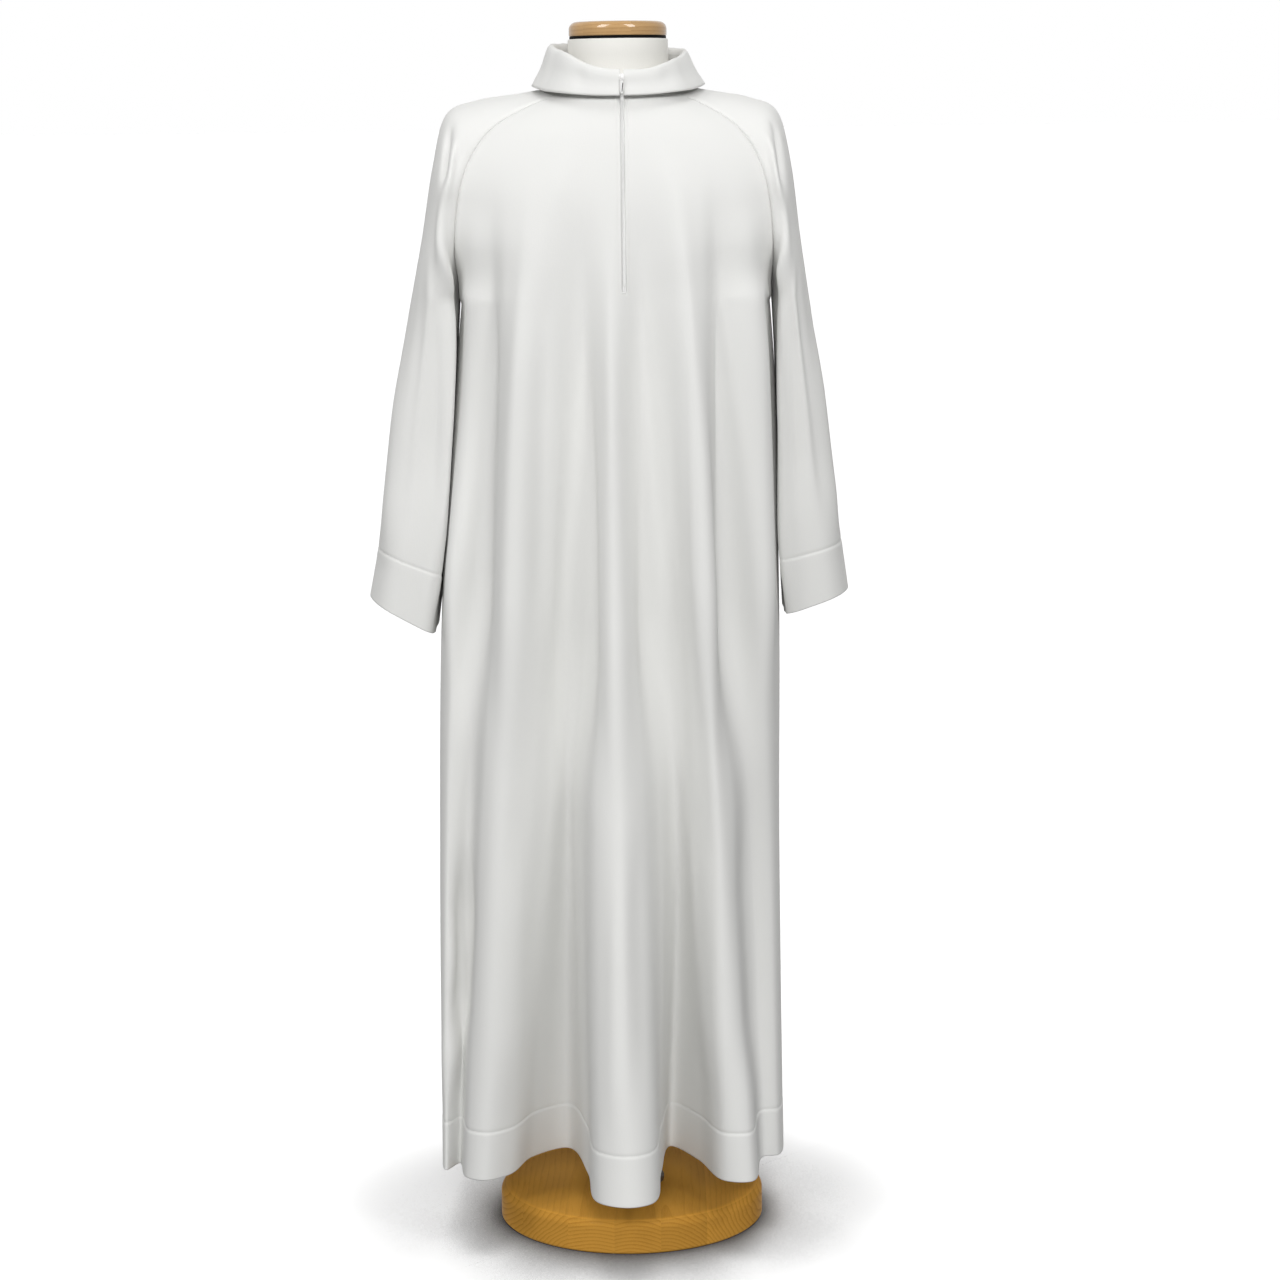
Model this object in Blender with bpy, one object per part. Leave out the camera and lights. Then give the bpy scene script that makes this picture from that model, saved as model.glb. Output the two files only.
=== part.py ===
"""An alb, a white raglan-sleeved liturgical robe with a zip at the neck, on a limbless dress form.

Metres, +Z up. The robe's front faces -Y, and +X is at the right of a viewer who faces the front. The
origin is the centre of the wooden base's underside.

The cloth is one continuous outer surface, cut at its seams into panels. Each panel is a grid of points:
rows run from the neckline down to the hem or the cuff, and columns run round the body. Rows above the
underarm follow the raglan seams, and rows below it are sections of the skirt or the sleeve.
"""

import math

import bpy
import numpy as np
from mathutils import Matrix

# Driving dimensions
CLOTH = 0.0015  # wall of every cloth piece
SEAM_GAP = 0.0003  # between pieces that are sewn together, or that rest on each other
UNDERARM_GAP = 0.0024  # between the pieces that meet in the narrow fold under the arm
HEM_HEIGHT = 0.108  # hem above the ground
ZIP_X = 0.005  # the zip lies a little to the right of the middle
ZIP_SLIT = 0.0050  # width of the slit that shows the zip
BASE_RADIUS, BASE_HEIGHT, BASE_ROUNDING = 0.180, 0.045, 0.012
CAP_RADIUS, CAP_BOTTOM, CAP_TOP, CAP_ROUNDING = 0.0640, 1.5985, 1.6170, 0.010
RING_RADIUS, RING_BOTTOM = 0.0632, 1.5950
NECK_RADIUS = 0.0655
POLE_RADIUS, FLANGE_RADIUS, FLANGE_HEIGHT = 0.016, 0.045, 0.006
TORSO_BOTTOM = 0.820

# Where the rows lie. Whole numbers up to UNDERARM are the rows of the tables below.
UNDERARM = 6
UPPER_ROWS = (0, 1, 2, 2.6, 3.1, 4, 5, 5.75, UNDERARM)
SKIRT_HEIGHTS = (1.250, 1.200, 1.100, 0.980, 0.860, 0.745, 0.630, 0.520, 0.410, 0.300, 0.200)
HIP, KNEE = 0.860, 0.520
ZIP_END = 1.275
FRONT_STEPS, BACK_STEPS, SLEEVE_COLUMNS = 2, 2, 18

# The raglan seams from the neckline to the underarm. Each row: x left, x right, y front, y back,
# z front, z back. The last row is the underarm point, where the front and back seams meet.
RAGLAN_SEAMS = (
    (-0.074, 0.074, -0.0443, 0.0397, 1.5260, 1.5370),
    (-0.118, 0.112, -0.054, 0.054, 1.5095, 1.5190),
    (-0.163, 0.152, -0.068, 0.078, 1.4830, 1.4920),
    (-0.192, 0.179, -0.082, 0.100, 1.4440, 1.4480),
    (-0.208, 0.193, -0.088, 0.108, 1.3930, 1.3930),
    (-0.2145, 0.199, -0.078, 0.090, 1.3250, 1.3250),
    (-0.2125, 0.199, 0.000, 0.000, 1.2620, 1.2620),
)
# The middle line of the front and the back over the same rows. Each row: y and z in front, y and z
# behind, how much of a full round the row covers, and how square that round is.
MIDDLE_LINES = (
    (-0.0870, 1.5235, 0.0780, 1.5430, 0.86, 2.6),
    (-0.0975, 1.4970, 0.1040, 1.5150, 0.86, 2.6),
    (-0.1110, 1.4650, 0.1230, 1.4780, 0.84, 2.6),
    (-0.1250, 1.4200, 0.1360, 1.4280, 0.82, 2.6),
    (-0.1350, 1.3750, 0.1440, 1.3750, 0.86, 2.6),
    (-0.1430, 1.3150, 0.1510, 1.3150, 0.93, 2.8),
    (-0.1480, 1.2620, 0.1560, 1.2620, 1.00, 3.3),
)
# The line along the top of the shoulder and down the outside of the sleeve: x left, x right, z, and half
# the depth of the round that the row is part of: less than half of it down to the shoulder's tip, and
# more than half of it below.
SHOULDER_LINES = (
    (-0.0860, 0.0860, 1.5325, 0.0830),
    (-0.1320, 0.1300, 1.5255, 0.0760),
    (-0.1850, 0.1710, 1.5180, 0.0840),
    (-0.2265, 0.2080, 1.4995, 0.0935),
    (-0.2450, 0.2255, 1.4330, 0.1010),
    (-0.2610, 0.2370, 1.3400, 0.0980),
    (-0.2765, 0.2480, 1.2620, 0.0940),
)
SHOULDER_TIP = (3, 4)  # between these rows a sleeve passes from less than half of its round to more
# Squareness of a sleeve's round below the underarm, where 2 is an ellipse: beside the body and outside.
SLEEVE_SQUARENESS_LEFT, SLEEVE_SQUARENESS_RIGHT = np.array((6.0, 2.4)), np.array((4.5, 2.4))
# The sleeve below the underarm, a closed ring at each height: x of its inner side, x of its outer side,
# how much lower the inner side lies, and half the depth.
SLEEVE_HEIGHTS = (1.2500, 1.2000, 1.1000, 1.0000, 0.9200, 0.8700)
SLEEVE_LEFT = (
    (-0.2131, -0.2790, 0.000, 0.093),
    (-0.2175, -0.2880, 0.003, 0.090),
    (-0.2274, -0.3035, 0.012, 0.086),
    (-0.2364, -0.3170, 0.024, 0.083),
    (-0.2432, -0.3290, 0.036, 0.080),
    (-0.2515, -0.3390, 0.048, 0.078),
)
SLEEVE_RIGHT = (
    (0.1996, 0.2500, 0.000, 0.093),
    (0.2027, 0.2560, 0.003, 0.090),
    (0.2068, 0.2690, 0.008, 0.086),
    (0.2085, 0.2820, 0.014, 0.083),
    (0.2106, 0.2930, 0.022, 0.080),
    (0.2135, 0.3000, 0.030, 0.078),
)
SLEEVE_MIDDLE_LEFT, SLEEVE_MIDDLE_RIGHT = -0.012, 0.010  # y of each cuff's middle

# The fold lines of the skirt. Each row is one line that runs from the underarm's height to the hem:
# x and y at the hip, the knee and the hem. Each list runs from the left side to the right.
SIDE_SEAM_LEFT = (-0.2430, 0.000, -0.2500, 0.005, -0.2530, 0.010)
SIDE_SEAM_RIGHT = (0.2075, 0.000, 0.2060, 0.005, 0.2080, 0.015)
SIDE_SEAM_TOP = 0.0030  # how far the side seam draws in just below the underarm point
SIDE_SEAM_LEAN = 0.005  # how far it leans inwards over 0.05 m there
FRONT_FOLDS = {
    "side crest left": (-0.2260, -0.120, -0.2390, -0.130, -0.2470, -0.145),
    "recess left": (-0.1930, -0.132, -0.2120, -0.118, -0.2300, -0.116),
    "left fold outside": (-0.1700, -0.158, -0.1940, -0.167, -0.2180, -0.176),
    "left fold crest": (-0.1450, -0.168, -0.1700, -0.184, -0.1930, -0.190),
    "left fold inside": (-0.1120, -0.160, -0.1340, -0.164, -0.1610, -0.166),
    "left trough side": (-0.0900, -0.152, -0.1040, -0.132, -0.1320, -0.090),
    "left trough": (-0.0690, -0.146, -0.0790, -0.110, -0.0860, -0.056),
    "middle fold left side": (-0.0550, -0.160, -0.0600, -0.165, -0.0570, -0.165),
    "middle fold left crest": (-0.0370, -0.182, -0.0420, -0.222, -0.0420, -0.284),
    "middle fold crest": (-0.0100, -0.186, -0.0080, -0.242, -0.0030, -0.306),
    "middle fold right crest": (0.0180, -0.174, 0.0220, -0.218, 0.0290, -0.288),
    "middle fold right side": (0.0380, -0.160, 0.0440, -0.160, 0.0400, -0.165),
    "right trough": (0.0600, -0.154, 0.0660, -0.116, 0.0540, -0.054),
    "right fold inside": (0.0840, -0.168, 0.0930, -0.152, 0.0910, -0.114),
    "right fold crest": (0.1050, -0.180, 0.1200, -0.190, 0.1240, -0.202),
    "right fold outside": (0.1240, -0.158, 0.1420, -0.174, 0.1600, -0.206),
    "recess right": (0.1420, -0.136, 0.1640, -0.108, 0.1780, -0.104),
    "side crest right": (0.1860, -0.112, 0.1930, -0.096, 0.1990, -0.096),
}
BACK_FOLDS = {
    "side crest left": (-0.2230, 0.112, -0.2320, 0.125, -0.2380, 0.140),
    "side trough left": (-0.1950, 0.136, -0.2000, 0.128, -0.2040, 0.118),
    "outer fold left outside": (-0.1680, 0.156, -0.1740, 0.172, -0.1800, 0.188),
    "outer fold left inside": (-0.1360, 0.164, -0.1420, 0.182, -0.1480, 0.202),
    "outer trough left": (-0.1000, 0.160, -0.1030, 0.150, -0.1050, 0.142),
    "inner fold left outside": (-0.0680, 0.168, -0.0690, 0.190, -0.0720, 0.222),
    "inner fold left inside": (-0.0400, 0.172, -0.0390, 0.196, -0.0400, 0.232),
    "middle trough": (-0.0060, 0.166, -0.0040, 0.160, -0.0020, 0.152),
    "inner fold right inside": (0.0300, 0.172, 0.0330, 0.198, 0.0360, 0.238),
    "inner fold right outside": (0.0600, 0.170, 0.0640, 0.196, 0.0700, 0.230),
    "outer trough right": (0.0960, 0.160, 0.1010, 0.148, 0.1050, 0.138),
    "outer fold right inside": (0.1280, 0.162, 0.1350, 0.180, 0.1420, 0.206),
    "outer fold right outside": (0.1520, 0.152, 0.1600, 0.172, 0.1680, 0.196),
    "side trough right": (0.1760, 0.134, 0.1800, 0.122, 0.1840, 0.108),
    "side crest right": (0.1940, 0.105, 0.1970, 0.115, 0.2000, 0.130),
}

# The collar's section, from the foot of the stand over the fold to the edge of the fall. At the front, the
# side and the back: height of the fold, and height and reach of the edge, from the neckline.
COLLAR_FOLD = (0.0310, 0.0555, 0.0460)
COLLAR_DROP_RIGHT, COLLAR_RISE_LEFT = 0.0085, 0.0050  # the fold sits lower at the right, higher at the left front
COLLAR_EDGE_HEIGHT = (-0.0020, 0.0035, -0.0060)
COLLAR_EDGE_REACH = (0.0120, 0.0270, 0.0240)
COLLAR_FOLD_HALF = 0.0045  # half the width over the fold
COLLAR_STATION_STEP = 3  # columns of the neckline for each section of the collar

# The torso below the shoulders. Each row: height at the sides, height at the front and back, half the
# width, depth in front and depth behind.
TORSO_RINGS = (
    (1.4700, 1.4050, 0.2060, 0.1120, 0.1200),
    (1.4150, 1.3600, 0.1930, 0.1200, 0.1260),
    (1.2900, 1.2650, 0.1760, 0.1240, 0.1280),
    (1.1800, 1.1700, 0.1640, 0.1140, 0.1180),
    (1.0700, 1.0700, 0.1560, 0.1060, 0.1120),
    (0.9300, 0.9300, 0.1720, 0.1160, 0.1240),
    (TORSO_BOTTOM, TORSO_BOTTOM, 0.1760, 0.1180, 0.1260),
)

TORSO_CLEARANCE, TORSO_TOUCH = 0.005, 0.045  # the yoke rests along the shoulders, and clears them further out

# The zip's slider and its pull tab, in the slope of the collar's front: along x, down the slope, outwards
SLIDER_WIDTH, SLIDER_LENGTH, SLIDER_PLATE = 0.0066, 0.0090, 0.0012
BRIDGE_WIDTH, BRIDGE_LENGTH, BRIDGE_HEIGHT, BRIDGE_BAR = 0.0014, 0.0070, 0.0034, 0.0010
TAB_BAR, TAB_CLEARANCE = 0.0010, 0.0003
TAB_WIDTH, TAB_LENGTH, TAB_EYE = 0.0048, 0.0215, 0.0052
SLIDER_HEIGHT = 1.5440  # height of the slider's middle above the ground

# Each material's red, green and blue, its roughness and how metallic it is
COLOURS = {
    "cloth": (0.86, 0.86, 0.84, 0.90, 0.0),
    "jersey": (0.80, 0.79, 0.75, 0.85, 0.0),
    "zip tape": (0.84, 0.84, 0.82, 0.80, 0.0),
    "zip metal": (0.80, 0.80, 0.80, 0.30, 0.9),
    "beech": (0.62, 0.36, 0.14, 0.25, 0.0),
    "black": (0.01, 0.01, 0.01, 0.50, 0.0),
    "steel": (0.55, 0.55, 0.55, 0.35, 1.0),
}


def clear_scene():
    for thing in list(bpy.data.objects):
        bpy.data.objects.remove(thing, do_unlink=True)


def through(knots, values, at):
    """A smooth curve through values at rising knots, read at one place."""
    knots = np.asarray(knots, float)
    values = np.asarray(values, float)
    slopes = np.gradient(values, knots, axis=0)
    i = int(np.clip(np.searchsorted(knots, at) - 1, 0, len(knots) - 2))
    span = knots[i + 1] - knots[i]
    f = (at - knots[i]) / span
    return (
        (2 * f**3 - 3 * f**2 + 1) * values[i]
        + (f**3 - 2 * f**2 + f) * span * slopes[i]
        + (3 * f**2 - 2 * f**3) * values[i + 1]
        + (f**3 - f**2) * span * slopes[i + 1]
    )


def table_row(table, row):
    """A table's columns at a row, which may lie between two of its rows."""
    return through(range(len(table)), table, row)


def unit(vectors):
    return vectors / np.maximum(np.linalg.norm(vectors, axis=-1, keepdims=True), 1e-12)


def arch(share, roundness, power):
    """1 in the middle of a row and 0 at its ends, where share is -1 and 1."""
    end = max(1 - roundness**power, 0) ** (1 / power)
    return (np.maximum(1 - np.abs(share * roundness) ** power, 0) ** (1 / power) - end) / (1 - end)


def subdivided(stations, steps):
    """Positions along a row: whole numbers are its stations, with steps between each two."""
    return np.arange((stations - 1) * steps + 1) / steps


def fold_line(fold, top, above, height):
    """One fold line's point at a height, on from the points above and at the underarm's height."""
    hip_x, hip_y, knee_x, knee_y, hem_x, hem_y = fold
    heights = (HEM_HEIGHT, KNEE, HIP, top[2], above[2])
    points = ((hem_x, hem_y), (knee_x, knee_y), (hip_x, hip_y), top[:2], above[:2])
    return (*through(heights, points, height), height)


def upper_row(row, shares, behind):
    """The front's points (or the back's) along one row above the underarm."""
    left, right, *seam = table_row(RAGLAN_SEAMS, row)
    lines = table_row(MIDDLE_LINES, row)
    edge_y, edge_z = (seam[1], seam[3]) if behind else (seam[0], seam[2])
    middle_y, middle_z = lines[2:4] if behind else lines[0:2]
    roundness = lines[4]
    if row > UNDERARM - 1:
        roundness = max(1 - abs(edge_y / middle_y) ** lines[5], 0) ** (1 / lines[5])
    rise = arch(shares, roundness, lines[5])
    x = np.where(shares < 0, -shares * left, shares * right)
    return np.stack([x, edge_y + (middle_y - edge_y) * rise, edge_z + (middle_z - edge_z) * rise], axis=1)


def skirt_ring(height):
    """The closed row of fold-line points at a height: the front's from left to right, then the back's."""
    ring = []
    for folds, behind in ((FRONT_FOLDS, False), (BACK_FOLDS, True)):
        rows = [SIDE_SEAM_LEFT, *folds.values(), SIDE_SEAM_RIGHT]
        shares = fold_shares(folds)
        tops, aboves = upper_row(UNDERARM, shares, behind), upper_row(UNDERARM - 1, shares, behind)
        for end in (0, -1):
            tops[end, 0] -= math.copysign(SIDE_SEAM_TOP, tops[end, 0])
            aboves[end] = tops[end] + (-math.copysign(SIDE_SEAM_LEAN, tops[end, 0]), 0, 0.05)
        points = [fold_line(*line, height) for line in zip(rows, tops, aboves)]
        ring += points[-2:0:-1] if behind else points
    return np.array(ring)


def fold_shares(folds):
    """Where each fold line starts across the panel, from -1 at the left seam to 1 at the right."""
    hips = np.array([SIDE_SEAM_LEFT[0], *(fold[0] for fold in folds.values()), SIDE_SEAM_RIGHT[0]])
    return np.where(hips < 0, hips / -SIDE_SEAM_LEFT[0], hips / SIDE_SEAM_RIGHT[0])


def round_the_ring(ring, first, last, steps):
    """A smooth row through a closed ring's stations first to last, with steps between each two."""
    found = []
    for position in subdivided(last - first + 1, steps):
        i = min(int(position), last - first - 1)
        near = ring[np.arange(first + i - 1, first + i + 3) % len(ring)]
        knots = np.concatenate([[0], np.cumsum(np.sqrt(np.linalg.norm(np.diff(near, axis=0), axis=1)))])
        found.append(through(knots, near, knots[1] + (position - i) * (knots[2] - knots[1])))
    return np.array(found)


def panel_grids():
    """The outer points of the front, left to right, and of the back, right to left."""
    fronts, backs = [], []
    front_count, back_count = len(FRONT_FOLDS) + 2, len(BACK_FOLDS) + 2
    front_at, back_at = subdivided(front_count, FRONT_STEPS), subdivided(back_count, BACK_STEPS)
    front_shares = np.interp(front_at, range(front_count), fold_shares(FRONT_FOLDS))
    back_shares = np.interp(back_at, range(back_count), fold_shares(BACK_FOLDS))
    for row in UPPER_ROWS:
        fronts.append(upper_row(row, front_shares, behind=False))
        backs.append(upper_row(row, back_shares, behind=True)[::-1])
    for height in (*SKIRT_HEIGHTS, HEM_HEIGHT):
        ring = skirt_ring(height)
        right = front_count - 1
        fronts.append(round_the_ring(ring, 0, right, FRONT_STEPS))
        backs.append(round_the_ring(ring, right, len(ring), BACK_STEPS))
    return np.array(fronts), np.array(backs)


def sleeve_ring(front, back, outer, half_depth, row=UNDERARM, squareness=(2.0, 2.0)):
    """A row of a sleeve from its front edge round the outside to its back edge. squareness is of the half
    of the round beside the body and of the outer half."""
    middle, reach = (front + back) / 2, outer - (front + back) / 2
    half_chord = np.linalg.norm(front - back) / 2
    forward = unit(front - back) if half_chord > 1e-6 else np.array([0.0, -1.0, 0.0])
    half_depth = max(half_depth, half_chord)
    start = math.asin(half_chord / half_depth)
    if row < SHOULDER_TIP[1]:
        past = min(max((row - SHOULDER_TIP[0]) / (SHOULDER_TIP[1] - SHOULDER_TIP[0]), 0), 1)
        start += (math.pi - 2 * start) * (1 - past * past * (3 - 2 * past))
        half_depth = half_chord / math.sin(start)
    turn = np.linspace(start, 2 * math.pi - start, SLEEVE_COLUMNS + 1)[:, None]
    power = np.where(np.cos(turn) > 0, *squareness)
    out = (math.cos(start) - swell(np.cos(turn), power)) / (1 + math.cos(start))
    return middle + reach * out + forward * half_depth * swell(np.sin(turn), power)


def swell(value, squareness):
    """A sine or cosine whose round is squarer the further squareness is above 2."""
    return np.sign(value) * np.abs(value) ** (2 / squareness)


def sleeve_grid(right):
    """A sleeve's outer points. Columns run the same way round as the panels': the left one's from back to
    front and the right one's from front to back. Below the underarm the last column meets the first."""
    rows = []
    side = int(right)
    for row in UPPER_ROWS:
        seam, shoulder = table_row(RAGLAN_SEAMS, row), table_row(SHOULDER_LINES, row)
        front = np.array([seam[side], seam[2], seam[4]])
        back = np.array([seam[side], seam[3], seam[5]])
        outer = np.array([shoulder[side], 0, shoulder[2]])
        rows.append(sleeve_ring(front, back, outer, shoulder[3], row))
    middle_y = SLEEVE_MIDDLE_RIGHT if right else SLEEVE_MIDDLE_LEFT
    table = SLEEVE_RIGHT if right else SLEEVE_LEFT
    square = SLEEVE_SQUARENESS_RIGHT if right else SLEEVE_SQUARENESS_LEFT
    for height, (inner_x, outer_x, drop, depth) in zip(SLEEVE_HEIGHTS, table):
        y = middle_y * (SLEEVE_HEIGHTS[0] - height) / (SLEEVE_HEIGHTS[0] - SLEEVE_HEIGHTS[-1])
        inner = np.array([inner_x, y, height - drop])
        squareness = 2 + (square - 2) * min((SLEEVE_HEIGHTS[0] - height) / 0.15, 1)
        rows.append(sleeve_ring(inner, inner, np.array([outer_x, y, height]), depth, squareness=squareness))
    grid = np.array(rows)
    return grid if right else grid[:, ::-1]


def numbered(grids):
    """Every grid's points in one list, with shared numbers where the grids touch."""
    flat = np.concatenate([grid.reshape(-1, 3) for grid in grids.values()])
    cells = np.floor(flat * 1e6 + 0.37)  # shifted, so that no round number falls between two cells
    _, first, index = np.unique(cells, axis=0, return_index=True, return_inverse=True)
    numbers, start = {}, 0
    for name, grid in grids.items():
        count = grid.shape[0] * grid.shape[1]
        numbers[name] = index.reshape(-1)[start : start + count].reshape(grid.shape[:2])
        start += count
    return flat[first], numbers


def point_normals(points, numbers):
    """Each point's outward direction over all the grids, so that walls meet square at their seams."""
    normals = np.zeros_like(points)
    for grid in numbers.values():
        corners = (grid[:-1, :-1], grid[1:, :-1], grid[1:, 1:], grid[:-1, 1:])
        across = np.cross(points[corners[2]] - points[corners[0]], points[corners[3]] - points[corners[1]])
        for corner in corners:
            np.add.at(normals, corner, across)
    return unit(normals)


def inward_steps(grid):
    """The unit steps into the panel from each point of its first column, and of its last."""
    return unit(grid[:, 1] - grid[:, 0]), unit(grid[:, -2] - grid[:, -1])


def parted(name, grids, numbers):
    """The grid with its seam edges drawn back by half the seam gap, away from the pieces it is sewn to."""
    steps = {}
    for other, grid in grids.items():
        lower = np.arange(len(grid)) > len(UPPER_ROWS) - 1
        closed = lower & (numbers[other][:, 0] == numbers[other][:, -1])
        for column, side in ((0, inward_steps(grid)[0]), (-1, inward_steps(grid)[1])):
            for row in np.flatnonzero(~closed):
                steps.setdefault(numbers[other][row, column], []).append((other, side[row]))
    moved = grids[name].copy()
    for column in (0, -1):
        for row, number in enumerate(numbers[name][:, column]):
            own = [step for other, step in steps.get(number, []) if other == name]
            rest = [step for other, step in steps.get(number, []) if other != name]
            if own and rest:
                away = unit(np.mean(own, axis=0) - np.mean(rest, axis=0))
                narrow = len(UPPER_ROWS) - 2 <= row < len(UPPER_ROWS)
                moved[row, column] += away * (UNDERARM_GAP if narrow else SEAM_GAP) / 2
    return moved


def wall_mesh(outer, inner, quads, name, material):
    """A closed wall from two grids of points and the grid's quads that it keeps, rimmed all round."""
    columns = outer.shape[1]
    count = outer.shape[0] * columns
    faces = [tuple(quad) for quad in quads]
    faces += [tuple(corner + count for corner in quad[::-1]) for quad in quads]
    edges = {(a, b) for quad in quads for a, b in zip(quad, (*quad[1:], quad[0]))}
    faces += [(b, a, a + count, b + count) for a, b in sorted(edges) if (b, a) not in edges]
    points = np.concatenate([outer.reshape(-1, 3), inner.reshape(-1, 3)])
    return add_object(name, points, faces, material)


def grid_quads(rows, columns, closed_from=None):
    """Quads of a grid. From row closed_from on, its last column is its first."""

    def number(row, column):
        wraps = closed_from is not None and row >= closed_from and column == columns - 1
        return row * columns + (0 if wraps else column)

    return [
        (number(r, c), number(r + 1, c), number(r + 1, c + 1), number(r, c + 1))
        for r in range(rows - 1)
        for c in range(columns - 1)
    ]


def add_object(name, points, faces, material):
    """A mesh object with only the points that its faces use."""
    used = sorted({corner for face in faces for corner in face})
    place = {corner: i for i, corner in enumerate(used)}
    mesh = bpy.data.meshes.new(name)
    mesh.from_pydata([tuple(points[i]) for i in used], [], [tuple(place[c] for c in face) for face in faces])
    mesh.validate()
    thing = bpy.data.objects.new(name, mesh)
    bpy.context.scene.collection.objects.link(thing)
    mesh.shade_smooth()
    mesh.set_sharp_from_angle(angle=math.radians(40))
    mesh.materials.append(make_material(name, material))
    return thing


def make_material(name, kind):
    red, green, blue, roughness, metallic = COLOURS[kind]
    material = bpy.data.materials.new(f"{name} {kind}")
    material.use_nodes = True
    shader = material.node_tree.nodes["Principled BSDF"]
    shader.inputs["Base Color"].default_value = (red, green, blue, 1)
    shader.inputs["Roughness"].default_value = roughness
    shader.inputs["Metallic"].default_value = metallic
    return material


def slit_front(grid):
    """The front's grid with its middle column doubled, so that a slit parts its rows down to the zip's end.
    Above the underarm its columns are spread evenly again between the slit and the seams."""
    middle = int(np.argmin(np.abs(grid[len(UPPER_ROWS) - 1, :, 0] - ZIP_X)))
    edges = ZIP_X - ZIP_SLIT / 2, ZIP_X + ZIP_SLIT / 2
    rows = []
    for i, row in enumerate(grid):
        x = row[:, 0]
        left, right = x[: middle + 1], x[middle:]
        if i < len(UPPER_ROWS):
            left = left[0] + (left - left[0]) * (edges[0] - left[0]) / (left[-1] - left[0])
            right = right[-1] + (right - right[-1]) * (edges[1] - right[-1]) / (right[0] - right[-1])
            rows.append(read_row(row, np.concatenate([left, right])))
        else:
            lips = read_row(row[middle - 1 : middle + 2], edges)
            rows.append(np.concatenate([row[:middle], lips, row[middle + 1 :]]))
    return np.array(rows), middle


def read_row(row, places):
    """A row's points at places along x."""
    return np.stack([places, *(np.interp(places, row[:, 0], row[:, axis]) for axis in (1, 2))], axis=1)


def make_garment():
    """The front, the back and the sleeves. It returns what the collar, zip and torso are made from."""
    front, back = panel_grids()
    front, slit = slit_front(front)
    grids = {
        "front_panel": front,
        "sleeve_right": sleeve_grid(right=True),
        "back_panel": back,
        "sleeve_left": sleeve_grid(right=False),
    }
    points, numbers = numbered(grids)
    normals = point_normals(points, numbers)
    for name, grid in grids.items():
        outer = parted(name, grids, numbers)
        inner = outer - normals[numbers[name]] * CLOTH
        sleeve = name.startswith("sleeve")
        quads = grid_quads(*grid.shape[:2], closed_from=len(UPPER_ROWS) - 1 if sleeve else None)
        if name == "front_panel":
            last = zip_rows(grid, slit)
            quads = [quad for i, quad in enumerate(quads) if not in_slit(i, grid.shape[1], slit, last)]
        wall_mesh(outer, inner, quads, name, "cloth")
    directions = {name: normals[numbers[name]] for name in grids}
    return grids, directions, slit


def zip_rows(grid, slit):
    """The last row that the slit reaches."""
    return int(np.argmin(np.abs(grid[:, slit, 2] - ZIP_END)))


def in_slit(i, columns, slit, last):
    row, column = divmod(i, columns - 1)
    return column == slit and row < last


def neckline(grids, directions):
    """The neckline from the slit's right edge round the back to its left edge, and its outward normals."""
    order = ("front_panel", "sleeve_right", "back_panel", "sleeve_left", "front_panel")
    slit = int(np.argmin(np.abs(grids["front_panel"][0, :, 0] - ZIP_X - ZIP_SLIT / 2)))
    spans = (slice(slit, -1), slice(0, -1), slice(0, -1), slice(0, -1), slice(0, slit))
    rows = range(4)
    ring = [np.concatenate([grids[n][r, s] for n, s in zip(order, spans)]) for r in rows]
    away = [np.concatenate([directions[n][r, s] for n, s in zip(order, spans)]) for r in rows]
    return np.array(ring), np.array(away)


def by_side(values, outward):
    """A value at the front, side and back, blended by which way a station faces."""
    front, side, back = values
    facing = -outward[1]
    return side + (front - side) * facing**2 if facing > 0 else side + (back - side) * facing**2


def collar_section(outward, wall=(0, 0, 1)):
    """Middle line of the collar's wall as (reach, height) from the neckline, whose cloth faces along wall."""
    fold, edge_height, edge_reach = (
        by_side(values, outward) for values in (COLLAR_FOLD, COLLAR_EDGE_HEIGHT, COLLAR_EDGE_REACH)
    )
    side, forward = outward[0], max(-outward[1], 0)
    fold -= COLLAR_DROP_RIGHT * side if side > 0 else COLLAR_RISE_LEFT * 2 * side * forward
    foot = -SEAM_GAP - CLOTH * (0.5 + max(np.dot(wall, outward), 0))
    lean = (edge_reach - COLLAR_FOLD_HALF) / 2
    return np.array(
        [
            (foot, -0.0008),
            (foot - 0.0008, fold * 0.55),
            (foot - 0.0005, fold - 0.0040),
            (foot + 0.0013, fold - 0.0010),
            (COLLAR_FOLD_HALF / 2, fold),
            (COLLAR_FOLD_HALF - 0.0005, fold - 0.0012),
            (COLLAR_FOLD_HALF + 0.0012, fold - 0.0045),
            (COLLAR_FOLD_HALF + lean * 0.9, (fold * 0.9 + edge_height * 1.1) / 2),
            (edge_reach, edge_height),
        ]
    )


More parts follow.
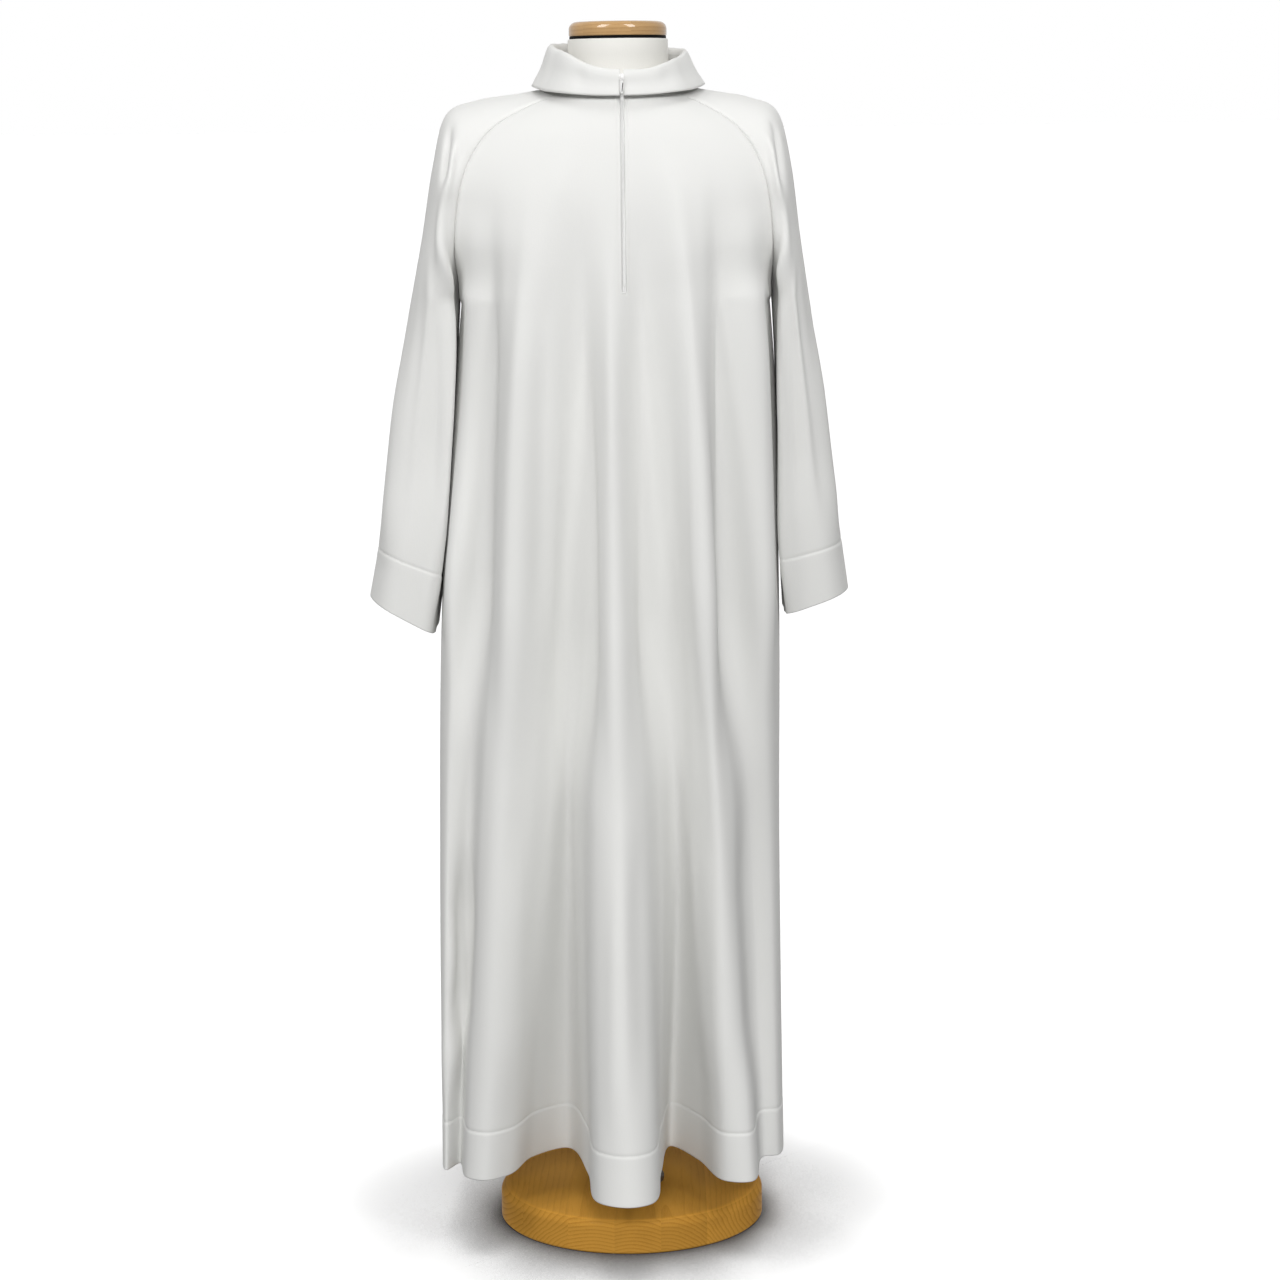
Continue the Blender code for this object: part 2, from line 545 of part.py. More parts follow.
def make_collar(ring, away):
    """The fold-over collar: a stand inside the neckline, and a fall outside it."""
    neck = ring[0]
    picks = np.unique(np.append(np.arange(0, len(neck), COLLAR_STATION_STEP), len(neck) - 1))
    tangents = unit(np.gradient(neck, axis=0) * (1, 1, 0))
    outwards = np.stack([tangents[:, 1], -tangents[:, 0], np.zeros(len(neck))], axis=1)
    outwards[0] = outwards[-1] = (0, -1, 0)
    outer, inner = [], []
    for i in picks:
        section = collar_section(outwards[i], away[0, i])
        along = unit(np.gradient(section, axis=0))
        across = np.stack([-along[:, 1], along[:, 0]], axis=1) * CLOTH / 2
        for side, found in ((section - across, outer), (section + across, inner)):
            found.append(neck[i] + side[:, :1] * outwards[i] + side[:, 1:] * np.array([0, 0, 1]))
    outer, inner = np.array(outer), np.array(inner)
    wall_mesh(outer, inner, grid_quads(*outer.shape[:2]), "collar", "cloth")
    fall = collar_section(np.array([0, -1, 0]))
    return neck[0], fall


def strip_mesh(name, path, width, thickness, x, material):
    """A flat strip along a path of (y, z) points, centred on x, with its flat side across the path."""
    points = np.array([(x, y, z) for y, z in path])
    along = unit(np.gradient(points, axis=0))
    out = np.cross(along, (1, 0, 0)) * thickness / 2
    side = np.array([width / 2, 0, 0])
    outer = np.stack([points + out - side, points + out + side], axis=1)
    inner = np.stack([points - out - side, points - out + side], axis=1)
    return wall_mesh(outer, inner, grid_quads(len(points), 2), name, material)


def zip_path(front, directions, slit, foot, fall):
    """The zip's middle line as (y, z), from the collar's fold down to the end of the slit."""
    crest, edge = fall[-3], fall[-1]
    slope = [crest + (edge - crest) * share for share in (0.05, 0.4, 0.75)]
    collar = [(foot[1] - reach, foot[2] + height) for reach, height in slope]
    last = zip_rows(front, slit)
    middle = front[:, slit] - directions[:, slit] * CLOTH / 2
    panel = [(y, z) for _, y, z in middle[1 : last + 1]]
    y, z = panel[-1]
    panel[-1] = (y, z + 2 * SEAM_GAP)
    return collar + panel


def make_zip(path):
    """The zip's two tapes, side by side in the slit."""
    width = (ZIP_SLIT - 3 * SEAM_GAP) / 2
    for name, side in (("zip_tape_left", -1), ("zip_tape_right", 1)):
        strip_mesh(name, path, width, CLOTH * 0.8, ZIP_X + side * (width + SEAM_GAP) / 2, "zip tape")


def box(low, high):
    """The points and faces of a box."""
    corners = [(x, y, z) for z in (low[2], high[2]) for y in (low[1], high[1]) for x in (low[0], high[0])]
    faces = [(0, 2, 3, 1), (4, 5, 7, 6), (0, 1, 5, 4), (2, 6, 7, 3), (0, 4, 6, 2), (1, 3, 7, 5)]
    return corners, faces


def union_of_boxes(name, boxes, frame, material):
    """One body from boxes that share a local frame, joined by Booleans."""
    body = None
    for i, (low, high) in enumerate(boxes):
        corners, faces = box(low, high)
        piece = add_object(name if body is None else f"{name} joined {i}", np.array(corners), faces, material)
        if body is None:
            body = piece
            continue
        joint = body.modifiers.new(f"join {i}", "BOOLEAN")
        joint.operation = "UNION"
        joint.object = piece
        piece.hide_render = True
        piece.display_type = "WIRE"
        piece.parent = body
    body.matrix_world = frame
    return body


def slider_frame(foot, fall):
    """The slider's place on the slope of the collar's front: x across, y outwards, z up the slope."""
    top, edge = fall[-3], fall[-1]
    share = (foot[2] + top[1] - SLIDER_HEIGHT) / (top[1] - edge[1])
    reach = top[0] + (edge[0] - top[0]) * share
    slope = math.atan2(edge[0] - top[0], top[1] - edge[1])
    return Matrix.Translation((ZIP_X, foot[1] - reach, SLIDER_HEIGHT)) @ Matrix.Rotation(-slope, 4, "X")


def make_slider(frame):
    """The slider's plate and bridge, and the pull tab whose bar lies under the bridge. In the local frame
    the outward direction is -y."""
    back = -(CLOTH / 2 + SEAM_GAP)
    front = back - SLIDER_PLATE
    bridge_front = front - BRIDGE_HEIGHT
    half_bridge, half_length = BRIDGE_WIDTH / 2, BRIDGE_LENGTH / 2
    sunk = 0.0002
    bar_front, bar_back, post_back = bridge_front - BRIDGE_BAR, bridge_front + sunk, front + sunk
    upper, lower = half_length - BRIDGE_BAR, BRIDGE_BAR - half_length
    union_of_boxes(
        "zip_slider",
        [
            ((-SLIDER_WIDTH / 2, front, -SLIDER_LENGTH / 2), (SLIDER_WIDTH / 2, back, SLIDER_LENGTH / 2)),
            ((-half_bridge, bridge_front, upper), (half_bridge, post_back, half_length)),
            ((-half_bridge, bridge_front, -half_length), (half_bridge, post_back, lower)),
            ((-half_bridge, bar_front, -half_length), (half_bridge, bar_back, half_length)),
        ],
        frame,
        "zip metal",
    )
    bar_y = (front + bridge_front) / 2
    half_bar = TAB_BAR / 2
    eye, side = half_bridge + TAB_CLEARANCE, TAB_WIDTH / 2
    plate, thick = side + sunk, half_bar + sunk
    union_of_boxes(
        "zip_pull_tab",
        [
            ((-side, -half_bar, -half_bar), (side, half_bar, half_bar)),
            ((-side, -half_bar, -TAB_EYE), (-eye, half_bar, half_bar - sunk)),
            ((eye, -half_bar, -TAB_EYE), (side, half_bar, half_bar - sunk)),
            ((-plate, -thick, -TAB_LENGTH), (plate, thick, -TAB_EYE + sunk)),
        ],
        frame @ Matrix.Translation((0, bar_y, 0)),
        "zip metal",
    )


def turned(name, profile, material, steps=48):
    """A solid of revolution about the Z axis from (radius, height) points that run from the lower middle
    outwards and up to the upper middle."""
    angles = np.arange(steps) * 2 * math.pi / steps
    points = [(0, 0, profile[0][1])]
    for radius, height in profile:
        points += [(radius * math.cos(a), radius * math.sin(a), height) for a in angles]
    points.append((0, 0, profile[-1][1]))
    faces = [(0, 1 + (i + 1) % steps, 1 + i) for i in range(steps)]
    for row in range(len(profile) - 1):
        start = 1 + row * steps
        faces += [
            (start + i, start + (i + 1) % steps, start + steps + (i + 1) % steps, start + steps + i)
            for i in range(steps)
        ]
    top, last = len(points) - 1, 1 + (len(profile) - 1) * steps
    faces += [(top, last + i, last + (i + 1) % steps) for i in range(steps)]
    return add_object(name, np.array(points), faces, material)


def rounded_disc(radius, bottom, top, rounding, chamfer=0.002, steps=4):
    """The profile of a disc with a small chamfer below and a rounded edge above."""
    arc = [i * math.pi / 2 / steps for i in range(steps + 1)]
    edge = [(radius - rounding * (1 - math.cos(a)), top - rounding * (1 - math.sin(a))) for a in arc]
    return [(radius - chamfer, bottom), (radius, bottom + chamfer), *edge]


def make_torso(ring, away):
    """The torso with its neck. Under the yoke it follows the cloth from inside, and below the shoulders it
    is a plain figure well clear of it."""
    picks = np.arange(0, ring.shape[1], COLLAR_STATION_STEP)
    clear = SEAM_GAP + TORSO_CLEARANCE * np.minimum(np.abs(ring[..., 1:2]) / TORSO_TOUCH, 1) ** 2
    under = (ring - away * (CLOTH + clear))[:, picks]
    level = under[0]
    plan = unit(level * (1, 1, 0))
    ledge = level - plan * 0.0040 - (0, 0, 0.0008)
    neck = [plan * (NECK_RADIUS + 0.0030) + level * (0, 0, 1) + (0, 0, 0.0140)]
    neck += [plan * (NECK_RADIUS + 0.0005) + (0, 0, 1.5640)]
    neck += [plan * NECK_RADIUS + (0, 0, RING_BOTTOM - SEAM_GAP)]
    angles = np.arctan2(under[-1, :, 1] / 0.13, under[-1, :, 0] / 0.2)
    rings = []
    for side_z, middle_z, half, fore, aft in TORSO_RINGS:
        across = np.sign(np.cos(angles)) * np.abs(np.cos(angles)) ** 0.8
        along = np.sign(np.sin(angles)) * np.abs(np.sin(angles)) ** 0.9
        y = np.where(along < 0, along * fore, along * aft)
        z = middle_z + (side_z - middle_z) * np.abs(across) ** 2
        rings.append(np.stack([across * half, y, z], axis=1))
    rows = [*neck[::-1], ledge, *under, *rings]
    count = len(picks)
    points = np.concatenate([np.array(rows).reshape(-1, 3), [(0, 0, neck[-1][0, 2]), (0, 0, TORSO_BOTTOM)]])
    faces = []
    for r in range(len(rows) - 1):
        for c in range(count):
            d = (c + 1) % count
            faces.append((r * count + c, (r + 1) * count + c, (r + 1) * count + d, r * count + d))
    top, bottom = len(points) - 2, len(points) - 1
    last = (len(rows) - 1) * count
    faces += [(top, c, (c + 1) % count) for c in range(count)]
    faces += [(bottom, last + (c + 1) % count, last + c) for c in range(count)]
    add_object("form_torso", points, faces, "jersey")


def make_form():
    """The wooden base, the pole, the dark ring and the wooden cap."""
    turned("form_base", rounded_disc(BASE_RADIUS, 0, BASE_HEIGHT, BASE_ROUNDING), "beech", steps=64)
    foot, head = BASE_HEIGHT + SEAM_GAP, TORSO_BOTTOM - SEAM_GAP
    flange = ((FLANGE_RADIUS, 0), (FLANGE_RADIUS, FLANGE_HEIGHT), (POLE_RADIUS, FLANGE_HEIGHT))
    profile = [(r, foot + h) for r, h in flange] + [(r, head - h) for r, h in reversed(flange)]
    turned("form_pole", profile, "steel", steps=24)
    ring_top = CAP_BOTTOM - SEAM_GAP
    turned("form_cap_ring", [(RING_RADIUS, RING_BOTTOM), (RING_RADIUS, ring_top)], "black", steps=40)
    cap = rounded_disc(CAP_RADIUS, CAP_BOTTOM, CAP_TOP, CAP_ROUNDING, chamfer=0.001)
    turned("form_cap", cap, "beech", steps=48)


def main():
    clear_scene()
    grids, directions, slit = make_garment()
    ring, away = neckline(grids, directions)
    foot, fall = make_collar(ring, away)
    make_zip(zip_path(grids["front_panel"], directions["front_panel"], slit, foot, fall))
    make_slider(slider_frame(foot, fall))
    make_torso(ring, away)
    make_form()


main()
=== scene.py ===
"""The looks of a white raglan-sleeved alb on its limbless dress form.

Metres, +Z up, the robe's front faces -Y, and +X is at the right of a viewer who faces it. The garment is
built again from the same tables as its solids, with finer rows and columns, and then gets its creases,
seams, stitching and zip.
"""

import math
from functools import cache

import bmesh
import bpy
import numpy as np
from mathutils import Matrix, Vector


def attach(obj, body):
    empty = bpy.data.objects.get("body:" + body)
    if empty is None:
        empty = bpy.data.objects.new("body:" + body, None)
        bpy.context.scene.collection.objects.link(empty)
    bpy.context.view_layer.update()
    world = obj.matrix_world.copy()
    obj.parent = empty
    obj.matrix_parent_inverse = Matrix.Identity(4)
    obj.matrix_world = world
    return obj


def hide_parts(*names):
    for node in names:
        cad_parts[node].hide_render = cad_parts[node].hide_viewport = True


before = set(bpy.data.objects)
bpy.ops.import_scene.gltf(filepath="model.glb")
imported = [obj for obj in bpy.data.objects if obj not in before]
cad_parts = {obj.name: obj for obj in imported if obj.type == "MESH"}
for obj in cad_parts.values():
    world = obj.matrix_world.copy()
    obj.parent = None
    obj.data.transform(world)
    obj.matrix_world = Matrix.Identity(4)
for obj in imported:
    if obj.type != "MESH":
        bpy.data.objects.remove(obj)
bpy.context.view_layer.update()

bl_info = {
    "name": "Alb on a dress form",
    "version": (1, 0, 0),
    "blender": (4, 5, 0),
    "location": "View3D > Sidebar > Alb",
    "description": "Builds the cloth, the zip, the stitching, the dress form and the studio of an alb",
    "category": "Object",
}

GARMENT_BODY, TAB_BODY = "robe_and_form", "pull_tab"

# ---- Shape of the garment: named sizes and tables shared with its solids ----
HEM_HEIGHT = 0.108
ZIP_X = 0.005
BASE_RADIUS, BASE_HEIGHT, BASE_ROUNDING = 0.180, 0.045, 0.012
CAP_RADIUS, CAP_BOTTOM, CAP_TOP, CAP_ROUNDING = 0.0640, 1.5985, 1.6170, 0.010
RING_BOTTOM = 1.5950
NECK_RADIUS = 0.0655
TORSO_BOTTOM = 0.820
ABOVE_ALL = 9.0  # higher than every piece
CLOTH = 0.0015
SEAM_GAP = 0.0003
UNDERARM = 6  # the row of the tables at the underarm
UNDERARM_HEIGHT = 1.262
HIP, KNEE = 0.860, 0.520
ZIP_END = 1.275
# The raglan seams from the neckline to the underarm. Each row: x left, x right, y front, y back,
# z front, z back. The last row is the underarm point, where the front and back seams meet.
RAGLAN_SEAMS = (
    (-0.074, 0.074, -0.0443, 0.0397, 1.5260, 1.5370),
    (-0.118, 0.112, -0.054, 0.054, 1.5095, 1.5190),
    (-0.163, 0.152, -0.068, 0.078, 1.4830, 1.4920),
    (-0.192, 0.179, -0.082, 0.100, 1.4440, 1.4480),
    (-0.208, 0.193, -0.088, 0.108, 1.3930, 1.3930),
    (-0.2145, 0.199, -0.078, 0.090, 1.3250, 1.3250),
    (-0.2125, 0.199, 0.000, 0.000, 1.2620, 1.2620),
)
# The middle line of the front and the back over the same rows. Each row: y and z in front, y and z
# behind, how much of a full round the row covers, and how square that round is.
MIDDLE_LINES = (
    (-0.0870, 1.5235, 0.0780, 1.5430, 0.86, 2.6),
    (-0.0975, 1.4970, 0.1040, 1.5150, 0.86, 2.6),
    (-0.1110, 1.4650, 0.1230, 1.4780, 0.84, 2.6),
    (-0.1250, 1.4200, 0.1360, 1.4280, 0.82, 2.6),
    (-0.1350, 1.3750, 0.1440, 1.3750, 0.86, 2.6),
    (-0.1430, 1.3150, 0.1510, 1.3150, 0.93, 2.8),
    (-0.1480, 1.2620, 0.1560, 1.2620, 1.00, 3.3),
)
# The line along the top of the shoulder and down the outside of the sleeve: x left, x right, z, and half
# the depth of the round that the row is part of: less than half of it down to the shoulder's tip, and
# more than half of it below.
SHOULDER_LINES = (
    (-0.0860, 0.0860, 1.5325, 0.0830),
    (-0.1320, 0.1300, 1.5255, 0.0760),
    (-0.1850, 0.1710, 1.5180, 0.0840),
    (-0.2265, 0.2080, 1.4995, 0.0935),
    (-0.2450, 0.2255, 1.4330, 0.1010),
    (-0.2610, 0.2370, 1.3400, 0.0980),
    (-0.2765, 0.2480, 1.2620, 0.0940),
)
SHOULDER_TIP = (3, 4)  # between these rows a sleeve passes from less than half of its round to more
# Squareness of a sleeve's round below the underarm, where 2 is an ellipse: beside the body and outside.
# Left, then right.
SLEEVE_SQUARENESS = np.array(((6.0, 2.4), (4.5, 2.4)))
# The sleeve below the underarm, a closed ring at each height: x of its inner side, x of its outer side,
# how much lower the inner side lies, and half the depth.
SLEEVE_HEIGHTS = (1.2500, 1.2000, 1.1000, 1.0000, 0.9200, 0.8700)
SLEEVE_LEFT = (
    (-0.2131, -0.2790, 0.000, 0.093),
    (-0.2175, -0.2880, 0.003, 0.090),
    (-0.2274, -0.3035, 0.012, 0.086),
    (-0.2364, -0.3170, 0.024, 0.083),
    (-0.2432, -0.3290, 0.036, 0.080),
    (-0.2515, -0.3390, 0.048, 0.078),
)
SLEEVE_RIGHT = (
    (0.1996, 0.2500, 0.000, 0.093),
    (0.2027, 0.2560, 0.003, 0.090),
    (0.2068, 0.2690, 0.008, 0.086),
    (0.2085, 0.2820, 0.014, 0.083),
    (0.2106, 0.2930, 0.022, 0.080),
    (0.2135, 0.3000, 0.030, 0.078),
)
SLEEVE_MIDDLES = (-0.012, 0.010)  # y of the middle of the left and the right cuff


def metres(*millimetres):
    return tuple(value / 1000 for value in millimetres)


# The fold lines of the skirt. Each row is one line that runs from the underarm's height to the hem:
# x and y at the hip, the knee and the hem, in millimetres. Each list runs from the left side to the right.
SIDE_SEAM_LEFT = metres(-243, 0, -250, 5, -253, 10)
SIDE_SEAM_RIGHT = metres(207.5, 0, 206, 5, 208, 15)
SIDE_SEAM_TOP = 0.0030  # how far the side seam draws in just below the underarm point
SIDE_SEAM_LEAN = 0.005  # how far it leans inwards over 0.05 m there
FRONT_FOLDS = {
    "side crest left": metres(-226, -120, -239, -130, -247, -145),
    "recess left": metres(-193, -132, -212, -118, -230, -116),
    "left fold outside": metres(-170, -158, -194, -167, -218, -176),
    "left fold crest": metres(-145, -168, -170, -184, -193, -190),
    "left fold inside": metres(-112, -160, -134, -164, -161, -166),
    "left trough side": metres(-90, -152, -104, -132, -132, -90),
    "left trough": metres(-69, -146, -79, -110, -86, -56),
    "middle fold left side": metres(-55, -160, -60, -165, -57, -165),
    "middle fold left crest": metres(-37, -182, -42, -222, -42, -284),
    "middle fold crest": metres(-10, -186, -8, -242, -3, -306),
    "middle fold right crest": metres(18, -174, 22, -218, 29, -288),
    "middle fold right side": metres(38, -160, 44, -160, 40, -165),
    "right trough": metres(60, -154, 66, -116, 54, -54),
    "right fold inside": metres(84, -168, 93, -152, 91, -114),
    "right fold crest": metres(105, -180, 120, -190, 124, -202),
    "right fold outside": metres(124, -158, 142, -174, 160, -206),
    "recess right": metres(142, -136, 164, -108, 178, -104),
    "side crest right": metres(186, -112, 193, -96, 199, -96),
}
BACK_FOLDS = {
    "side crest left": metres(-223, 112, -232, 125, -238, 140),
    "side trough left": metres(-195, 136, -200, 128, -204, 118),
    "outer fold left outside": metres(-168, 156, -174, 172, -180, 188),
    "outer fold left inside": metres(-136, 164, -142, 182, -148, 202),
    "outer trough left": metres(-100, 160, -103, 150, -105, 142),
    "inner fold left outside": metres(-68, 168, -69, 190, -72, 222),
    "inner fold left inside": metres(-40, 172, -39, 196, -40, 232),
    "middle trough": metres(-6, 166, -4, 160, -2, 152),
    "inner fold right inside": metres(30, 172, 33, 198, 36, 238),
    "inner fold right outside": metres(60, 170, 64, 196, 70, 230),
    "outer trough right": metres(96, 160, 101, 148, 105, 138),
    "outer fold right inside": metres(128, 162, 135, 180, 142, 206),
    "outer fold right outside": metres(152, 152, 160, 172, 168, 196),
    "side trough right": metres(176, 134, 180, 122, 184, 108),
    "side crest right": metres(194, 105, 197, 115, 200, 130),
}

# The collar's section, from the foot of the stand over the fold to the edge of the fall. At the front, the
# side and the back: height of the fold, and height and reach of the edge, from the neckline.
COLLAR_FOLD = (0.0310, 0.0555, 0.0460)
COLLAR_DROP_RIGHT, COLLAR_RISE_LEFT = 0.0085, 0.0050  # the fold is lower at the right, higher at the left
COLLAR_EDGE_HEIGHT = (-0.0020, 0.0035, -0.0060)
COLLAR_EDGE_REACH = (0.0120, 0.0270, 0.0240)
COLLAR_FOLD_HALF = 0.0045  # half the width over the fold

# The torso below the shoulders. Each row: height at the sides, height at the front and back, half the
# width, depth in front and depth behind.
TORSO_RINGS = (
    (1.4700, 1.4050, 0.2060, 0.1120, 0.1200),
    (1.4150, 1.3600, 0.1930, 0.1200, 0.1260),
    (1.2900, 1.2650, 0.1760, 0.1240, 0.1280),
    (1.1800, 1.1700, 0.1640, 0.1140, 0.1180),
    (1.0700, 1.0700, 0.1560, 0.1060, 0.1120),
    (0.9300, 0.9300, 0.1720, 0.1160, 0.1240),
    (TORSO_BOTTOM, TORSO_BOTTOM, 0.1760, 0.1180, 0.1260),
)
# The yoke lies a gap over the torso along the shoulders. Towards the front and back the gap grows by the
# clearance, which it reaches at the touch's distance from the shoulder line.
TORSO_GAP, TORSO_CLEARANCE, TORSO_TOUCH = SEAM_GAP + 0.0012, 0.005, 0.045
# The neck above its lowest ring. Each row: how far it stands past the neck's radius, and its height.
NECK_RINGS = (
    (0.0005, 1.5640),
    (0.0001, 1.5750),
    (0.0000, RING_BOTTOM - SEAM_GAP - 0.0015),
    (-0.0010, RING_BOTTOM - SEAM_GAP),
)

# ---- The zip ----
ZIP_SINK, TAPE_SINK, TAPE_THICKNESS, TAPE_GAP = 0.0004, 0.0012, 0.0005, 0.0001
TOOTH, TOOTH_RISE, TOOTH_ASIDE = (0.00078, 0.00060, 0.00050), 0.0004, 0.00050  # half sizes and place
TACK_THREAD, TACK_HALF = (0.0008, 0.00040, 0.00022), 0.0040
SLIDER_PLATE = 0.0012
SLIDER_HALF_TOP, SLIDER_HALF_FOOT, SLIDER_HALF_LENGTH = 0.0033, 0.0027, 0.0045
BRIDGE_WIDTH, BRIDGE_LENGTH, BRIDGE_HEIGHT, BRIDGE_BAR = 0.0014, 0.0070, 0.0034, 0.0010
OVERLAP = 0.0002  # how far the bridge's bars sink into each other and the plate
TAB_WIDTH, TAB_LENGTH, TAB_EYE, TAB_THICKNESS = 0.0048, 0.0215, 0.0052, 0.0010
TAB_RIM, TAB_TAPER = 0.0011, 0.82
TAB_SHADOW_SLOT = (0.00062, 0.00050, -0.0075, -0.0195)  # the painted shadow's half widths, top and foot: a dark plate for the shade of a slit
SHADOW_SLOT_ASIDE, SHADOW_SLOT_LEAN, SHADOW_SLOT_MIDDLE = 0.0007, 0.10, -0.0135
SHADOW_SLOT_RISE, SHADOW_SLOT_SINK = 0.0003, 0.0001  # how far it stands out of the tab and sinks into it
SLIDER_HEIGHT = 1.5440  # height of the slider's middle above the ground

# ---- Fineness of the shown cloth ----
SLEEVE_COLUMNS = 60
FOLD_STEPS = 10  # columns from one fold line to the next
ZIP_FOLD_LINES = (9, 13)  # the front's fold lines that the zip lies between
ZIP_SPREAD = (1.3, 1.7)  # fold lines to the left and right of the slit over which the columns make way for it
SQUARE_DEPTH = 0.15  # how far below the underarm a sleeve reaches its full squareness
UNDERARM_LEVEL = 60  # the row of the grids that lies at the underarm
YOKE_ROWS = (0, 10, 20, 26)
COLLAR_POINTS = 29
COVERED_ROWS = 8  # rows of the grids at the neckline that the collar covers

# ---- Relief of the shown cloth ----
CREASE_FADES = (0.36, 0.30)  # shares of a crease over which it rises at its top and ends at its foot
CREASE_LEAN = 0.45  # how much narrower a full lean makes a crease's steep side
SEAM_WIDTH = 0.0022
RIDGE, RIDGE_AWAY, RIDGE_WIDTH = 0.35, 0.0065, 0.0040  # the ridge's height is a share of the seam's depth
HEM_GROOVE, HEM_GROOVE_WIDTH, HEM_DOUBLING = 0.0007, 0.0016, 0.0004
WELT, WELT_AWAY, ZIP_GROOVE, ZIP_GROOVE_WIDTH = 0.0007, 0.0014, 0.0005, 0.0011
FALL_GROOVE, FALL_GROOVE_AT, FALL_GROOVE_WIDTH = 0.0006, 0.91, 0.016  # behind the collar's turned edge
STITCH_RISE = 0.00015  # height of a stitch over the cloth
ZIP_STITCHING = 0.0052  # distance of the stitched line from the zip

# Soft dents of the collar. Columns: share round the neck from the zip's right side, width as a share,
# where it starts and is deepest across the collar's section as shares, depth.
COLLAR_DENTS = (
    (0.10, 0.018, 0.50, 0.96, 0.0018),
    (0.21, 0.022, 0.48, 0.92, -0.0012),
    (0.36, 0.030, 0.52, 0.95, 0.0014),
    (0.55, 0.026, 0.50, 0.96, -0.0012),
    (0.68, 0.024, 0.50, 0.92, 0.0016),
    (0.80, 0.020, 0.48, 0.94, -0.0013),
    (0.91, 0.016, 0.52, 0.96, 0.0016),
)

# Cut pieces. Columns: grid, piece of the scene, node of the solids, cut as width, length and area.
PANELS = (
    ("front", "alb_front", "front_panel", (1.47, 1.46, 1.26)),
    ("back", "alb_back", "back_panel", (1.15, 1.48, 1.07)),
    ("sleeve_left", "alb_sleeve_left", "sleeve_left", (0.47, 0.82, 0.275)),
    ("sleeve_right", "alb_sleeve_right", "sleeve_right", (0.44, 0.79, 0.256)),
)
COLLAR_CUT = (0.58, 0.105, 0.057)

# ---- The studio ----
FLOOR_HALF = 300.0
# How far the painted contact shadow reaches over the floor, in metres, and how deep it is.
CONTACT_REACH, CONTACT_DEPTH = 0.24, 2.6
CAMERA_PLACE, CAMERA_PITCH, CAMERA_ROLL, CAMERA_LENS = (0.0201, -4.3079, 1.4997), 9.24, -0.0115, 91.19
# Columns: name, kind, place, target, power, angle in degrees or width, height. A sun and a fill light the
# cloth, and a shine is only seen in polished pieces.
STUDIO_LIGHTS = (
    ("sun_left", "SUN", (-3.6, -2.1, 2.6), (0, 0, 0.8), 0.26, 14, None),
    ("sun_front", "SUN", (0.0, -4.2, 2.6), (0, 0, 0.8), 1.22, 14, None),
    ("sun_right", "SUN", (2.1, -3.6, 2.6), (0, 0, 0.8), 0.26, 14, None),
    ("sun_far_right", "SUN", (3.6, -2.1, 2.6), (0, 0, 0.8), 0.12, 14, None),
    ("sun_above", "SUN", (0.0, -0.8, 5.4), (0, 0, 0.8), 0.84, 24, None),
    ("sun_back_left", "SUN", (-2.6, 3.6, 1.9), (0, 0, 0.8), 0.60, 14, None),
    ("sun_back_right", "SUN", (1.4, 4.2, 1.9), (0, 0, 0.8), 1.15, 14, None),
    ("fill_left", "FILL", (-1.75, -2.0, 2.5), (0, 0, 1.40), 14, 0.50, 0.22),
    ("fill_right", "FILL", (1.45, -2.05, 2.5), (0, 0, 1.40), 12, 0.45, 0.20),
    ("softbox_left", "SHINE", (-1.40, -1.60, 3.4), (0, 0, 1.60), 54, 0.90, 2.00),
    ("softbox_right", "SHINE", (1.20, -1.70, 3.4), (0, 0, 1.60), 50, 0.80, 2.00),
)

# ---- Creases in the cloth, laid over the fold lines ----
# Front and back: x and z at the top, middle and foot of each crease, half its width at the top and at the
# foot, how far it stands out (or in, below zero), all in millimetres, and its lean in thousandths: below
# zero it is steeper on its left, above zero on its right.
CREASES = {}
CREASES["front"] = (
    (-178, 1400, -217, 1100, -242, 720, 16, 19, 18, -300),
    (-163, 1440, -184, 1100, -206, 680, 20, 27, -22.5, 400),
    (-110, 1450, -136, 1090, -154, 640, 20, 24, 13.5, -500),
    (-96, 1300, -103, 1080, -108, 800, 11, 16, -4, 200),
    (-46, 1420, -54, 1060, -64, 600, 21, 31, -25, 500),
    (-12, 1400, -14, 1030, -12, 600, 14, 18, 14, -300),
    (24, 1440, 31, 1100, 50, 620, 22, 30, -23.5, -500),
    (72, 1460, 96, 1090, 113, 660, 18, 22, 13, 400),
    (122, 1450, 136, 1100, 150, 620, 19, 24, -26.5, -400),
    (162, 1400, 190, 1100, 201, 700, 15, 17, 15, 300),
    (-56, 1480, -86, 1380, -106, 1240, 18, 26, 3.2, 0),
    (46, 1480, 66, 1400, 80, 1260, 18, 26, 2.9, 0),
    (-214, 560, -222, 400, -236, 260, 10, 13, -9.5, -500),
    (-228, 480, -232, 330, -240, 180, 9, 12, 6.4, 300),
    (-140, 600, -150, 400, -160, 180, 15, 21, 4.8, 400),
    (86, 640, 96, 430, 110, 190, 13, 21, 5.6, -400),
    (150, 620, 158, 420, 166, 200, 11, 16, -6.4, 500),
    (-12, 560, -16, 380, -18, 150, 13, 18, 3.5, -400),
    (12, 620, 16, 420, 20, 200, 11, 16, -3.5, 300),
)
